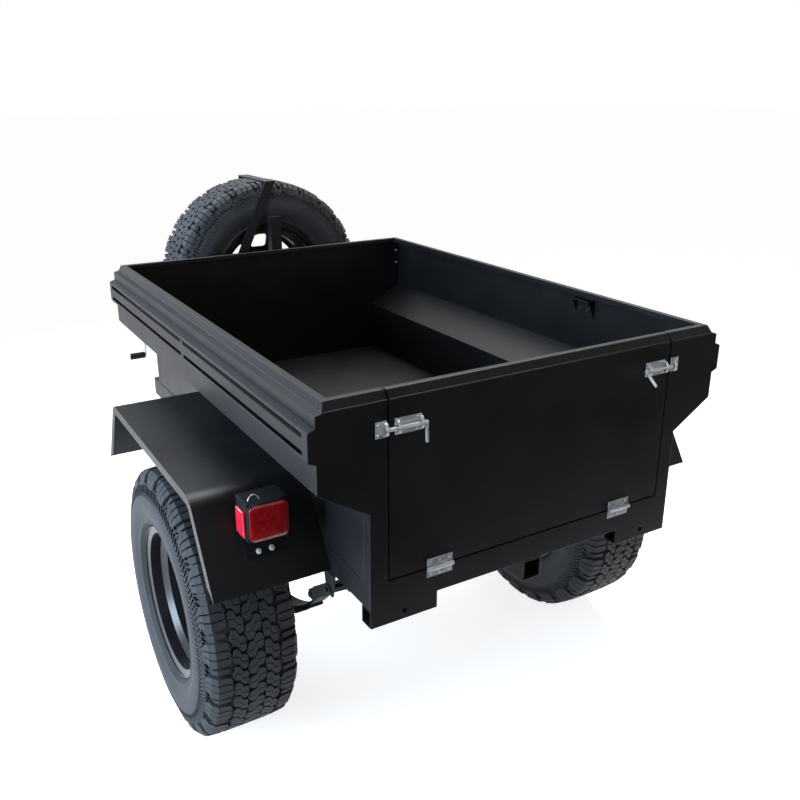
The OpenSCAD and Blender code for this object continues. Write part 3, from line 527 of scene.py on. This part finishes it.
class TRAILER_OT_steelwork(Operator):
    """Powder coat on the tub, gate, fenders, frame, drawbar and spare carrier"""

    bl_idname = "trailer.steelwork"
    bl_label = "Steelwork"

    def execute(self, context):
        trim = context.scene.trailer_trim
        sheet = [
            "floor_pan", "side_wall_left", "side_wall_right", "tie_rail_left", "tie_rail_right", "wall_brackets",
            "fender_left", "fender_right",
        ]
        folded = ["front_wall", "rear_frame", "tailgate"]
        bars = [
            "frame_rail_left", "frame_rail_right", "crossmembers", "corner_sockets", "receiver", "drawbar_left",
            "drawbar_right", "coupler", "spare_carrier", "spare_strap",
        ]
        dress(sheet, "powder_coat", trim.edge)
        dress(folded, "powder_coat", trim.fold)
        dress(bars, "powder_coat", trim.tube_edge)
        return {"FINISHED"}


class TRAILER_OT_running_gear(Operator):
    """Finishes of the axle, springs, hubs and wheels"""

    bl_idname = "trailer.running_gear"
    bl_label = "Running gear"

    def execute(self, context):
        edge = context.scene.trailer_trim.edge
        dress(["axle", "leaf_spring_left", "leaf_spring_right"], "spring_paint")
        dress(["spring_hangers", "spring_shackles", "axle_clamps"], "spring_paint", edge)
        dress(["hub_left", "hub_right"], "hub_iron", edge)
        dress(["rim_left", "rim_right", "rim_spare"], "wheel_paint", 0.8 * edge)
        return {"FINISHED"}


class TRAILER_OT_hardware(Operator):
    """Finishes of the hinges, barrel bolts, jack, crank, coupler lever and lamp housings"""

    bl_idname = "trailer.hardware"
    bl_label = "Hardware"

    def execute(self, context):
        edge = 0.5 * context.scene.trailer_trim.edge
        dress(["hinge_gate_leaves", "hinge_sill_leaves", "latch_cases", "latch_keepers"], "zinc_plate", edge)
        dress(["latch_bolts", "jack_crank"], "zinc_plate")
        dress(["coupler_lever"], "zinc_plate", edge)
        dress(["jack_body", "jack_leg"], "jack_steel", edge)
        dress(["lamp_housings"], "lamp_plastic", 2 * edge)
        self.grip()
        return {"FINISHED"}

    def grip(self):
        """A ribbed sleeve on the crank's handle."""
        low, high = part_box("jack_crank")
        radius = (high.y - low.y) / 2
        grip, pitch, ribs = 75 * MM, 6 * MM, 12
        core, rib, groove = 0.9 * radius, radius + 1.1 * MM, radius + 0.2 * MM
        place = facing((low.x + grip, (low.y + high.y) / 2, low.z + radius), (-1, 0, 0))
        profile = [(core, 0)]
        for i in range(ribs):
            start = i * pitch
            profile += [(rib, start + 2 * MM), (rib, start + 5 * MM), (groove, start + 6.5 * MM)]
        profile += [(core, grip - 0.4 * MM)]
        sleeve = Form()
        sleeve.turn(profile, place, steps=24)
        add_piece(sleeve, "crank_sleeve", "trailer", "lamp_plastic")


# Tyre section as knots of (drop below the crown, distance from the middle plane) in millimetres:
# over the tips of the lugs, and along the carcass between them
LUG_LINE = (
    (0, 0), (0.3, 40), (0.8, 80), (4, 114), (20.5, 129.5), (35, 133.5), (47, 137.5), (59, 141.5), (74, 146.4),
    (89, 149.4),
)
CARCASS_LINE = (
    (13, 0), (13.3, 40), (14, 80), (18, 108), (33, 121), (43, 127), (53, 132.8), (62, 138), (74, 143.8), (89, 148.2),
)
# Sidewall's round bulge: its centre's radius and distance from the middle plane, and its own radius
BULGE = (312, 55, 95)
# Sidewall's foot as (radius, distance from the middle plane): the rim guard, the bead on its seat, and the lining.
# It takes over from the bulge at the guard's radius
GUARD_R = 264
BEAD_LINE = (
    (262, 139.2), (258, 140.6), (252, 139.8), (248, 135), (238, 117), (219.5, 113.5), (219.5, 84), (300, 128),
    (388, 96),
)

# Nominal height of the lugs, by which their bevels are measured, and the level of a block's root below the carcass
LUG_HEIGHT = 12 * MM
ROOT = -0.12

# Tread blocks as stations of (distance from the middle along the tread, start and end round the tyre), millimetres
CENTRE_BLOCK = (
    (-27, 6, 16), (-21, -8, 30), (-14, -13, 34), (-4, -14, 33), (4, -33, 14), (14, -34, 13), (21, -30, 8),
    (27, -16, -6),
)
MIDDLE_BLOCK = (
    (26, -30, 8), (33, -34, 13), (43, -33, 14), (51, -14, 33), (60, -13, 34), (66, -8, 30), (70, 4, 18),
)
SHOULDER_LUG = (
    (72, -22, 16), (78, -36, 33), (96, -38, 37), (114.15, -38, 37), (136.8, -36, 36), (144, -33, 35), (151.8, -30, 33),
    (158, -31, 25), (166, -17, 19),
)
SHOULDER_BAR = ((79, -7, 7), (96, -8, 8), (114.15, -7.5, 7.5), (131, -6, 6))
CHEVRON = ((153, 0, 5), (164, 10, 15), (175, 0, 5), (186, -10, -5), (199, 0, 5))


class TyreSection:
    """Places on the tyre's section by the distance from its middle, measured over the lugs."""

    def __init__(self, crown):
        self.crown = crown
        self.knots = [0.0]
        for a, b in zip(LUG_LINE, LUG_LINE[1:]):
            self.knots.append(self.knots[-1] + math.dist(a, b))

    def at(self, distance, level):
        """(radius, height) at a level from 0 on the carcass to 1 on the lugs' tips."""
        span = abs(distance)
        i = next((k for k in range(len(self.knots) - 2) if span < self.knots[k + 1]), len(self.knots) - 2)
        t = (span - self.knots[i]) / (self.knots[i + 1] - self.knots[i])
        low, high = (
            [a + (b - a) * t for a, b in zip(line[i], line[i + 1])] for line in (CARCASS_LINE, LUG_LINE)
        )
        drop, side = (a + (b - a) * level for a, b in zip(low, high))
        return self.crown - drop * MM, math.copysign(side * MM, distance)


def tread_block(form, section, place, stations, turn, flip, chamfer, top=1.0):
    """One block of the tread, rooted in the carcass, its top edges bevelled."""
    cut, step = chamfer / LUG_HEIGHT, chamfer / MM
    first, last = stations[0], stations[-1]
    rows = [
        (*first, top - cut), (first[0] + step, *first[1:], top), *((*s, top) for s in stations[1:-1]),
        (last[0] - step, *last[1:], top), (*last, top - cut),
    ]
    rings = []
    for distance, start, end, level in rows:
        edge = min(step, (end - start) / 3)
        points = []
        for along, height in (
            (start, ROOT), (start, level - cut), (start + edge, level),
            (end - edge, level), (end, level - cut), (end, ROOT),
        ):
            radius, offset = section.at(distance, height)
            angle = turn + flip * along * MM / section.crown
            points.append(place @ Vector((radius * math.cos(angle), radius * math.sin(angle), flip * offset)))
        rings.append(points)
    form.skin(rings)


def sliced(stations, slices, sipe):
    """A block cut across by narrow sipes into equal slices."""
    half = sipe / MM / 2
    return [
        tuple((d, a + (b - a) * i / slices + half * (i > 0), a + (b - a) * (i + 1) / slices - half * (i < slices - 1))
              for d, a, b in stations)
        for i in range(slices)
    ]


def carcass(form, section, place, steps):
    """The tyre's body between bead and bead, turned as one closed section."""
    radius, offset, bulge = BULGE
    side = [section.at(d, 0.0) for d in section.knots]
    for degrees in range(86, 140, 6):
        angle = math.radians(degrees)
        side.append(((radius + bulge * math.cos(angle)) * MM, (offset + bulge * math.sin(angle)) * MM))
    half = [p for p in side if p[0] > GUARD_R * MM] + [(r * MM, h * MM) for r, h in BEAD_LINE]
    mirrored = [(r, -h) for r, h in reversed(half) if h > SAME_POINT]
    form.turn([*half, *mirrored], place, steps=steps, loop=True)


class TRAILER_OT_tyres(Operator):
    """All-terrain tyres with tread blocks, shoulder lugs and sidewall ribs"""

    bl_idname = "trailer.tyres"
    bl_label = "Tyres"

    def build(self, name, body, place, settings):
        section = TyreSection(CROWN_R)
        form = Form()
        carcass(form, section, place, settings.steps)
        pitch = math.tau / settings.lugs
        sipe, chamfer = settings.sipe, settings.chamfer
        for i in range(settings.lugs):
            for half in (0.0, 0.5):
                turn = (i + half) * pitch
                for block in sliced(CENTRE_BLOCK, 2, sipe):
                    tread_block(form, section, place, block, turn, 1, chamfer)
                for flip in (1, -1):
                    for block in sliced(MIDDLE_BLOCK, 2, sipe):
                        tread_block(form, section, place, block, turn + 0.25 * pitch, flip, chamfer)
            for flip in (1, -1):
                turn = (i + (flip < 0) / 2) * pitch
                tread_block(form, section, place, SHOULDER_BAR, turn, flip, chamfer, top=0.8)
                for block in sliced(SHOULDER_LUG, 3, 2 * sipe):
                    tread_block(form, section, place, block, turn + 0.5 * pitch, flip, chamfer)
                for k in range(settings.chevrons):
                    tread_block(form, section, place, CHEVRON, turn + k * pitch / settings.chevrons, flip, 0.9 * MM)
        add_piece(form, f"tread_{name}", body, "tyre_rubber", [f"tyre_{name}"], crease=24)

    def execute(self, context):
        settings = context.scene.trailer_tyre
        for name, side in SIDES:
            place = Matrix(((0, 0, side), (0, side, 0), (-1, 0, 0))).to_4x4()
            place.translation = (side * WHEEL_CENTRE.x, WHEEL_CENTRE.y, WHEEL_CENTRE.z)
            self.build(name, f"wheel_{name}", place, settings)
        place = Matrix(((1, 0, 0), (0, 0, 1), (0, -1, 0))).to_4x4()
        place.translation = SPARE_CENTRE
        self.build("spare", "trailer", place, settings)
        return {"FINISHED"}


# Millimetres: grease cap as (radius, height above the hub), valve stem as (radius, distance from the middle plane)
CAP = ((30, -0.5), (30, 8), (27, 16), (18, 21), (6, 22.5))
VALVE = ((195, 48), (186, 60), (180, 76))
VALVE_TURN = math.radians(22.5)


class TRAILER_OT_wheel_trim(Operator):
    """Valves and grease caps of the wheels"""

    bl_idname = "trailer.wheel_trim"
    bl_label = "Wheel trim"

    def execute(self, context):
        for name, side in SIDES:
            hub_low, hub_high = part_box(f"hub_{name}")
            outer = hub_high.x if side > 0 else hub_low.x
            axis = (side, 0, 0)
            cap = Form()
            place = facing((outer, WHEEL_CENTRE.y, WHEEL_CENTRE.z), axis)
            cap.turn([(r * MM, h * MM) for r, h in CAP], place, steps=32)
            add_piece(cap, f"grease_cap_{name}", f"wheel_{name}", "zinc_plate")
            centre = Vector((side * WHEEL_CENTRE.x, WHEEL_CENTRE.y, WHEEL_CENTRE.z))
            self.valve(f"valve_{name}", f"wheel_{name}", centre, axis)
        self.valve("valve_spare", "trailer", SPARE_CENTRE, (0, 1, 0))
        return {"FINISHED"}

    def valve(self, name, body, centre, axis):
        place = facing(centre, axis)
        stem = Form()
        out = Vector((math.cos(VALVE_TURN), math.sin(VALVE_TURN), 0))
        path = [place @ (out * r * MM + Vector((0, 0, h * MM))) for r, h in VALVE]
        stem.tube(path, [6 * MM, 5 * MM, 4 * MM], sides=12)
        stem.tube([path[2], path[2] + (path[2] - path[1]).normalized() * 9 * MM], 4.6 * MM, sides=12)
        add_piece(stem, name, body, "lamp_plastic")


# Width of a lamp with its rim, depth of its lens, and the lens's dome as (share of its size, depth in millimetres)
LAMP_W = 111 * MM
LENS_DEPTH = 14 * MM
LENS_DOME = ((1.0, 4.5), (0.985, 2.8), (0.94, 1.6), (0.8, 0.7), (0.5, 0.2), (0.15, 0))


class TRAILER_OT_lamps(Operator):
    """Tail lamp lenses, side reflectors, bezels, nuts and wire bails"""

    bl_idname = "trailer.lamps"
    bl_label = "Tail lamps"

    def execute(self, context):
        lens_low, lens_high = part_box("lamp_lenses")
        case_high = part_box("lamp_housings")[1]
        rim = 2.5 * MM
        outer = case_high.x
        inner = outer - LAMP_W
        top = case_high.z
        foot = lens_low.z - rim
        red, reflectors, bezels, bright = Form(), Form(), Form(), Form()
        for side in (-1, 1):
            middle = Vector((side * (outer + inner) / 2, 0, (foot + top) / 2))
            half = ((outer - inner) / 2 - rim, (top - foot) / 2 - rim)
            self.lens(red, middle, half, lens_low.y)
            self.bezel(bezels, middle, half, rim, lens_low.y)
            x0, x1 = sorted((side * outer, side * lens_high.x))
            reflectors.slab(
                (x0, lens_low.y + LENS_DEPTH + 8 * MM, foot + 10 * MM), (x1, lens_high.y, foot + 82 * MM), 2 * MM
            )
            self.fasteners(bright, middle, side, foot)
            self.bail(bright, middle, side, top)
        add_piece(red, "tail_lenses", "trailer", "red_lens", ["lamp_lenses"])
        add_piece(reflectors, "side_reflectors", "trailer", "red_reflector")
        add_piece(bezels, "lamp_bezels", "trailer", "lamp_plastic")
        add_piece(bright, "lamp_nuts", "trailer", "zinc_plate")
        return {"FINISHED"}

    @staticmethod
    def outline(middle, half, scale, corner, y):
        """A rounded rectangle in X and Z, turned so that it faces the rear."""
        points = []
        for cx, cz, start in ((1, 1, 0), (-1, 1, 90), (-1, -1, 180), (1, -1, 270)):
            for step in range(7):
                a = math.radians(start + step * 15)
                x = cx * (half[0] * scale - corner * scale) + corner * scale * math.cos(a)
                z = cz * (half[1] * scale - corner * scale) + corner * scale * math.sin(a)
                points.append((middle.x + x, y, middle.z + z))
        return points

    def lens(self, form, middle, half, front):
        """A crowned lens from its seat to a shallow dome."""
        rings = [(1.0, LENS_DEPTH), *((share, y * MM) for share, y in LENS_DOME)]
        form.skin([self.outline(middle, half, share, 16 * MM, front + y) for share, y in rings])

    def bezel(self, form, middle, half, rim, front):
        """The housing's rim round the lens."""
        wide, soft, mouth = (
            (half[0] + grow, half[1] + grow) for grow in (rim, rim - 1.2 * MM, 0.4 * MM)
        )
        section = (
            (wide, LENS_DEPTH), (wide, 6 * MM), (soft, 4.5 * MM), (mouth, 4.5 * MM), (mouth, LENS_DEPTH),
        )
        form.skin([self.outline(middle, h, 1.0, 17 * MM, front + y) for h, y in section], loop=True)

    def fasteners(self, form, middle, side, foot):
        """Two nuts on the bracket below the lamp and a screw on its inner side."""
        out = Vector((0, -FLAP.z, FLAP.y))
        base = Vector((0, FENDER_LOW.y, FENDER_LOW.z))
        on_plate = base + FLAP * ((foot - 49 * MM - base.z) / FLAP.z) + out * 4 * MM
        for dx in (-18 * MM, 18 * MM):
            form.hex_head((middle.x + dx, on_plate.y, on_plate.z), out, 6.2 * MM, 7 * MM)
        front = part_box("lamp_lenses")[0].y
        form.pan_head((middle.x - side * 55.5 * MM, front + 24 * MM, foot + 20 * MM), (-side, 0, 0), 4 * MM, 3 * MM)

    def bail(self, form, middle, side, top):
        """A bent wire on top of the housing."""
        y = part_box("lamp_lenses")[0].y + 32 * MM
        path = []
        for step in range(13):
            a = math.radians(180 * step / 12)
            path.append((
                middle.x + side * (28 * MM + 15 * MM * math.cos(a)), y + 5 * MM * math.sin(a),
                top - 2 * MM + 15 * MM * math.sin(a),
            ))
        form.tube(path, 1.3 * MM, sides=8)


class TRAILER_OT_gate_fasteners(Operator):
    """Screws of the hinges, barrel bolts and keepers"""

    bl_idname = "trailer.gate_fasteners"
    bl_label = "Gate fasteners"

    def execute(self, context):
        screw = context.scene.trailer_trim.screw
        rear = (0, -1, 0)
        plate_y = GATE_LOW.y - 2 * MM
        gate, fixed = Form(), Form()
        leaf_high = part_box("hinge_gate_leaves")[1]
        sill_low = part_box("hinge_sill_leaves")[0]
        hinge_x = leaf_high.x - 38 * MM
        case_low, case_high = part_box("latch_cases")
        keeper_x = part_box("latch_keepers")[1].x - 7 * MM
        latch_z = (case_low.z + case_high.z) / 2
        for side in (-1, 1):
            for dx in (-27 * MM, 0, 27 * MM):
                x = side * hinge_x + dx
                gate.pan_head((x, plate_y, leaf_high.z - 8.5 * MM), rear, screw, 2 * MM)
                fixed.pan_head((x, plate_y, sill_low.z + 8.5 * MM), rear, screw, 2 * MM)
            for dz in (-15.6 * MM, 15.6 * MM):
                for inset in (12 * MM, 62 * MM):
                    gate.pan_head((side * (case_high.x - inset), plate_y, latch_z + dz), rear, screw, 2.4 * MM)
                fixed.pan_head((side * keeper_x, plate_y, latch_z + 0.8 * dz), rear, screw, 2.4 * MM)
        add_piece(gate, "gate_screws", "gate", "zinc_plate")
        add_piece(fixed, "frame_screws", "trailer", "zinc_plate")
        return {"FINISHED"}


class TRAILER_OT_rear_ledge(Operator):
    """Rounded ledge at the foot of the rear rim, on the gate and on the frame beside it"""

    bl_idname = "trailer.rear_ledge"
    bl_label = "Rear ledge"

    def execute(self, context):
        radius = context.scene.trailer_trim.ledge
        z = GATE_HIGH.z - RIM_RISE
        gate, fixed = Form(), Form()
        gate.tube([(GATE_LOW.x + 3 * MM, REAR_Y, z), (GATE_HIGH.x - 3 * MM, REAR_Y, z)], radius, sides=12)
        for side in (-1, 1):
            fixed.tube([(side * (GATE_HIGH.x + reach), REAR_Y, z) for reach in (6 * MM, 167 * MM)], radius, sides=12)
        add_piece(gate, "gate_ledge", "gate", "powder_coat")
        add_piece(fixed, "frame_ledges", "trailer", "powder_coat")
        return {"FINISHED"}


class TRAILER_OT_bolts(Operator):
    """Bolt heads and rivets on the tub, springs, jack and coupler"""

    bl_idname = "trailer.bolts"
    bl_label = "Bolts"

    def execute(self, context):
        bolt = context.scene.trailer_trim.bolt
        black, bright = Form(), Form()
        self.bracket_bolts(black, 0.7 * bolt)
        self.spring_bolts(black, bolt)
        self.jack_bolts(bright, 0.8 * bolt)
        self.coupler_bolts(bright, bolt)
        self.corner_rivets(bright)
        add_piece(black, "black_bolts", "trailer", "spring_paint")
        add_piece(bright, "bright_bolts", "trailer", "zinc_plate")
        return {"FINISHED"}

    def bracket_bolts(self, form, radius):
        low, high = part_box("wall_brackets")
        z = low.z + 0.4 * (high.z - low.z)
        for side in (-1, 1):
            for share in (0.3, 0.7):
                y = low.y + share * (high.y - low.y)
                form.hex_head((side * (high.x - 5 * MM), y, z), (-side, 0, 0), radius, 6 * MM)

    def spring_bolts(self, form, radius):
        """Nuts under the clamps' plates."""
        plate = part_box("axle_clamps")[0].z + 14 * MM
        spring_low, spring_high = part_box("leaf_spring_right")
        middle = (spring_low.x + spring_high.x) / 2
        span = (spring_high.x - spring_low.x) / 2 + 7 * MM
        for x in (-middle - span, -middle + span, middle - span, middle + span):
            for dy in (-38.5 * MM, 38.5 * MM):
                form.hex_head((x, WHEEL_CENTRE.y + dy, plate), (0, 0, -1), radius * 1.1, 9 * MM)

    def jack_bolts(self, form, radius):
        """Four heads on the plate that holds the jack to the drawbar."""
        low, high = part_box("jack_leg")
        centre = Matrix.Translation(((low.x + high.x) / 2, (low.y + high.y) / 2, 0))
        turn = centre @ Matrix.Rotation(-DRAW_ANGLE, 4, "Z")
        outward = turn.to_3x3() @ Vector((-1, 0, 0))
        for y in (-37 * MM, 37 * MM):
            for z in (RAIL_LOW.z + 10 * MM, RAIL_HIGH.z - 10 * MM):
                form.hex_head(turn @ Vector((0, y, z)), outward, radius * 0.7, 6 * MM)

    def coupler_bolts(self, form, radius):
        """Heads through the coupler's plate into the drawbar tubes."""
        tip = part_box("drawbar_right")[1].y
        for side in (-1, 1):
            for back in (30 * MM, 80 * MM):
                x = side * (30 * MM + back * math.tan(DRAW_ANGLE))
                form.hex_head((x, tip - back, RAIL_HIGH.z + 6 * MM), (0, 0, 1), radius, 8 * MM)

    def corner_rivets(self, form):
        """Rivets that hold the front wall's corner to the side wall."""
        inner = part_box("side_wall_right")[1].x - 3 * MM
        for side in (-1, 1):
            for drop in (62 * MM, 117 * MM):
                place = (side * (inner - 12 * MM), FRONT_Y - 3 * MM, GATE_HIGH.z - drop)
                form.pan_head(place, (0, -1, 0), 5 * MM, 3.5 * MM)


class TRAILER_OT_welds(Operator):
    """Weld beads where fenders, frame, hangers, receiver and drawbar meet"""

    bl_idname = "trailer.welds"
    bl_label = "Welds"

    def execute(self, context):
        bead = context.scene.trailer_trim.bead
        form, seam = Form(), Form()
        for side in (-1, 1):
            self.fender(form, side * FENDER_LOW.x, bead)
            self.drawbar(form, side, bead)
            self.underside(form, side, bead)
            x = side * RAIL_HIGH.x
            ends = [(x, y, RAIL_HIGH.z) for y in (REAR_Y + 60 * MM, FRONT_Y - 40 * MM)]
            seam.tube(ends, 2.8 * MM, sides=12)
        add_piece(form, "weld_beads", "trailer", "powder_coat")
        add_piece(seam, "frame_seams", "trailer", "powder_coat")
        return {"FINISHED"}

    def fender(self, form, x, bead):
        """Short beads along the fender's top, against the wall."""
        start = Vector((x, FENDER_LOW.y + 210 * MM, FENDER_HIGH.z))
        end = Vector((x, FENDER_HIGH.y - 190 * MM, FENDER_HIGH.z))
        for i in range(5):
            form.weld(start.lerp(end, (i + 0.25) / 5), start.lerp(end, (i + 0.6) / 5), bead)

    def drawbar(self, form, side, bead):
        """Upright beads where a drawbar tube meets the front crossmember."""
        low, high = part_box("drawbar_right")
        width = 50 * MM / math.cos(DRAW_ANGLE)
        for x in (high.x - width, high.x):
            form.weld((side * x, low.y, low.z + 4 * MM), (side * x, low.y, high.z - 4 * MM), bead)

    def underside(self, form, side, bead):
        """Beads of the spring hangers along the rail, and of the receiver along the rear crossmember."""
        low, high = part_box("spring_hangers")
        for y, reach in ((low.y + 30 * MM, 26 * MM), (high.y - 40 * MM, 36 * MM)):
            x = side * (RAIL_LOW.x - 3.5 * MM)
            form.weld((x, y - reach, RAIL_LOW.z), (x, y + reach, RAIL_LOW.z), bead)
        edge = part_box("receiver")[1].x
        form.weld((side * edge, REAR_Y + 8 * MM, RAIL_LOW.z), (side * edge, REAR_Y + 50 * MM, RAIL_LOW.z), bead)


# Softboxes: name, the setting that holds the power, place, target, size and tint
SKY = (0.62, 0.8, 1.0)
SOFTBOXES = (
    ("side_softbox", "side_light", (-4.5, -0.6, 1.6), (-0.6, -0.5, 0.8), (3.0, 2.4), SKY),
    ("front_softbox", "front_light", (-2.4, 2.8, 3.1), (-0.6, -0.3, 1.1), (2.4, 2.0), SKY),
    ("top_softbox", "top_light", (1.2, 0.8, 4.4), (0.3, -0.3, 0.8), (4.0, 4.0), (1.0, 1.0, 1.0)),
)
SPREAD = math.radians(80)
# Height of a direction where the white of the horizon ends, and where the ceiling's tone is reached
HORIZON = (0.12, 0.4)
# Half width of the floor, and the rear left and front right corners of the black cloth on it
FLOOR_REACH = 60.0
CLOTH = ((-9.0, -9.0), (11.0, -2.0))


def shown(tree):
    """1 for what the camera sees straight, in a reflection or through glass, and 0 for light that is cast."""
    path = tree.nodes.new("ShaderNodeLightPath")
    seen = math_node(tree, "MAXIMUM", path.outputs["Is Camera Ray"], path.outputs["Is Glossy Ray"])
    return math_node(tree, "MAXIMUM", seen, path.outputs["Is Transmission Ray"])


class TRAILER_OT_stage(Operator):
    """Pale floor, soft studio light, world and camera"""

    bl_idname = "trailer.stage"
    bl_label = "Studio"

    def execute(self, context):
        scene = context.scene
        studio = scene.trailer_studio
        scene.view_settings.view_transform = "Standard"
        self.floor(studio.glow)
        self.world(scene, studio.world_light)
        for name, setting, *where in SOFTBOXES:
            self.softbox(name, getattr(studio, setting), *where)
        self.flag()
        self.camera(scene, studio)
        return {"FINISHED"}

    def sheet(self, name, low, high, height, material):
        """A level rectangle between two corners."""
        mesh = bpy.data.meshes.new(name)
        corners = [(low[0], low[1], 0), (high[0], low[1], 0), (high[0], high[1], 0), (low[0], high[1], 0)]
        mesh.from_pydata(corners, [], [(0, 1, 2, 3)])
        mesh.materials.append(material)
        sheet = bpy.data.objects.new(name, mesh)
        sheet.location.z = height
        bpy.context.scene.collection.objects.link(sheet)
        return sheet

    def floor(self, glow):
        """A pale floor: white to the camera and in reflections, with the shade of what stands on it."""
        material, tree, shader = new_material("studio_floor", Roughness=0.9, Specular_IOR_Level=0.1)
        shader.inputs["Base Color"].default_value = (0.76, 0.76, 0.76, 1.0)
        shader.inputs["Emission Color"].default_value = (1.0, 1.0, 1.0, 1.0)
        tree.links.new(between(tree, shown(tree), 0.0, glow), shader.inputs["Emission Strength"])
        reach = FLOOR_REACH
        self.sheet("floor", (-reach, -reach), (reach, reach), -0.5 * MM, material)

    def world(self, scene, overhead):
        """White round the horizon, and dimmer towards the ceiling."""
        world = bpy.data.worlds.new("studio")
        world.use_nodes = True
        scene.world = world
        tree = world.node_tree
        direction = tree.nodes.new("ShaderNodeSeparateXYZ")
        tree.links.new(tree.nodes.new("ShaderNodeTexCoord").outputs["Generated"], direction.inputs[0])
        fade = between(tree, direction.outputs["Z"], 1.0, overhead)
        fade.node.inputs["From Min"].default_value, fade.node.inputs["From Max"].default_value = HORIZON
        background = tree.nodes["Background"]
        background.inputs["Color"].default_value = (1.0, 1.0, 1.0, 1.0)
        tree.links.new(fade, background.inputs["Strength"])

    def softbox(self, name, power, place, target, size, tint):
        light = bpy.data.lights.new(name, "AREA")
        light.spread = SPREAD
        light.shape = "RECTANGLE"
        light.size, light.size_y = size
        light.energy = power
        light.color = tint
        lamp = bpy.data.objects.new(name, light)
        lamp.location = place
        lamp.rotation_euler = (Vector(target) - Vector(place)).to_track_quat("-Z", "Y").to_euler()
        bpy.context.scene.collection.objects.link(lamp)

    def flag(self):
        """A black cloth behind the trailer that keeps the rear panels deep black. Seen from below, it isn't there."""
        material, tree, shader = new_material("flag_cloth", Roughness=1.0, Specular_IOR_Level=0.0)
        shader.inputs["Base Color"].default_value = (0.01, 0.01, 0.01, 1.0)
        mix = tree.nodes.new("ShaderNodeMixShader")
        tree.links.new(tree.nodes.new("ShaderNodeNewGeometry").outputs["Backfacing"], mix.inputs["Fac"])
        tree.links.new(shader.outputs[0], mix.inputs[1])
        tree.links.new(tree.nodes.new("ShaderNodeBsdfTransparent").outputs[0], mix.inputs[2])
        tree.links.new(mix.outputs[0], tree.nodes["Material Output"].inputs["Surface"])
        flag = self.sheet("flag", *CLOTH, 1 * MM, material)
        flag.visible_camera = False
        flag.visible_shadow = False

    def camera(self, scene, studio):
        data = bpy.data.cameras.new("camera")
        data.sensor_width = 36.0
        data.lens = studio.lens
        data.shift_x, data.shift_y = studio.shift_x, studio.shift_y
        data.clip_start, data.clip_end = 0.05, 200.0
        camera = bpy.data.objects.new("camera", data)
        bearing, dip = math.radians(studio.bearing), math.radians(studio.dip)
        ahead = Vector((math.sin(bearing) * math.cos(dip), math.cos(bearing) * math.cos(dip), -math.sin(dip)))
        roll = Matrix.Rotation(math.radians(studio.roll), 4, "Z")
        turn = ahead.to_track_quat("-Z", "Y").to_matrix().to_4x4() @ roll
        camera.matrix_world = Matrix.Translation(Vector(studio.eye)) @ turn
        scene.collection.objects.link(camera)
        scene.camera = camera


class TRAILER_PT_panel(Panel):
    """Lists the trailer's pieces and settings"""

    bl_idname = "TRAILER_PT_panel"
    bl_label = "Trailer"
    bl_space_type = "VIEW_3D"
    bl_region_type = "UI"
    bl_category = "Trailer"

    def draw(self, context):
        for operator in OPERATORS:
            self.layout.operator(operator.bl_idname)
        for name, group in SETTINGS:
            box = self.layout.box()
            for field in group.__annotations__:
                box.prop(getattr(context.scene, name), field)


OPERATORS = (
    TRAILER_OT_steelwork, TRAILER_OT_running_gear, TRAILER_OT_hardware, TRAILER_OT_tyres, TRAILER_OT_wheel_trim,
    TRAILER_OT_lamps, TRAILER_OT_gate_fasteners, TRAILER_OT_rear_ledge, TRAILER_OT_bolts, TRAILER_OT_welds,
    TRAILER_OT_stage,
)
SETTINGS = (
    ("trailer_colours", TrailerColours), ("trailer_tyre", TrailerTyre), ("trailer_trim", TrailerTrim),
    ("trailer_studio", TrailerStudio),
)


def register():
    for name, group in SETTINGS:
        bpy.utils.register_class(group)
        setattr(bpy.types.Scene, name, PointerProperty(type=group))
    for item in (*OPERATORS, TRAILER_PT_panel):
        bpy.utils.register_class(item)


def unregister():
    for item in reversed((*OPERATORS, TRAILER_PT_panel)):
        bpy.utils.unregister_class(item)
    for name, group in reversed(SETTINGS):
        delattr(bpy.types.Scene, name)
        bpy.utils.unregister_class(group)


def main():
    register()
    for operator in OPERATORS:
        group, name = operator.bl_idname.split(".")
        getattr(getattr(bpy.ops, group), name)()


if __name__ == "__main__":
    main()
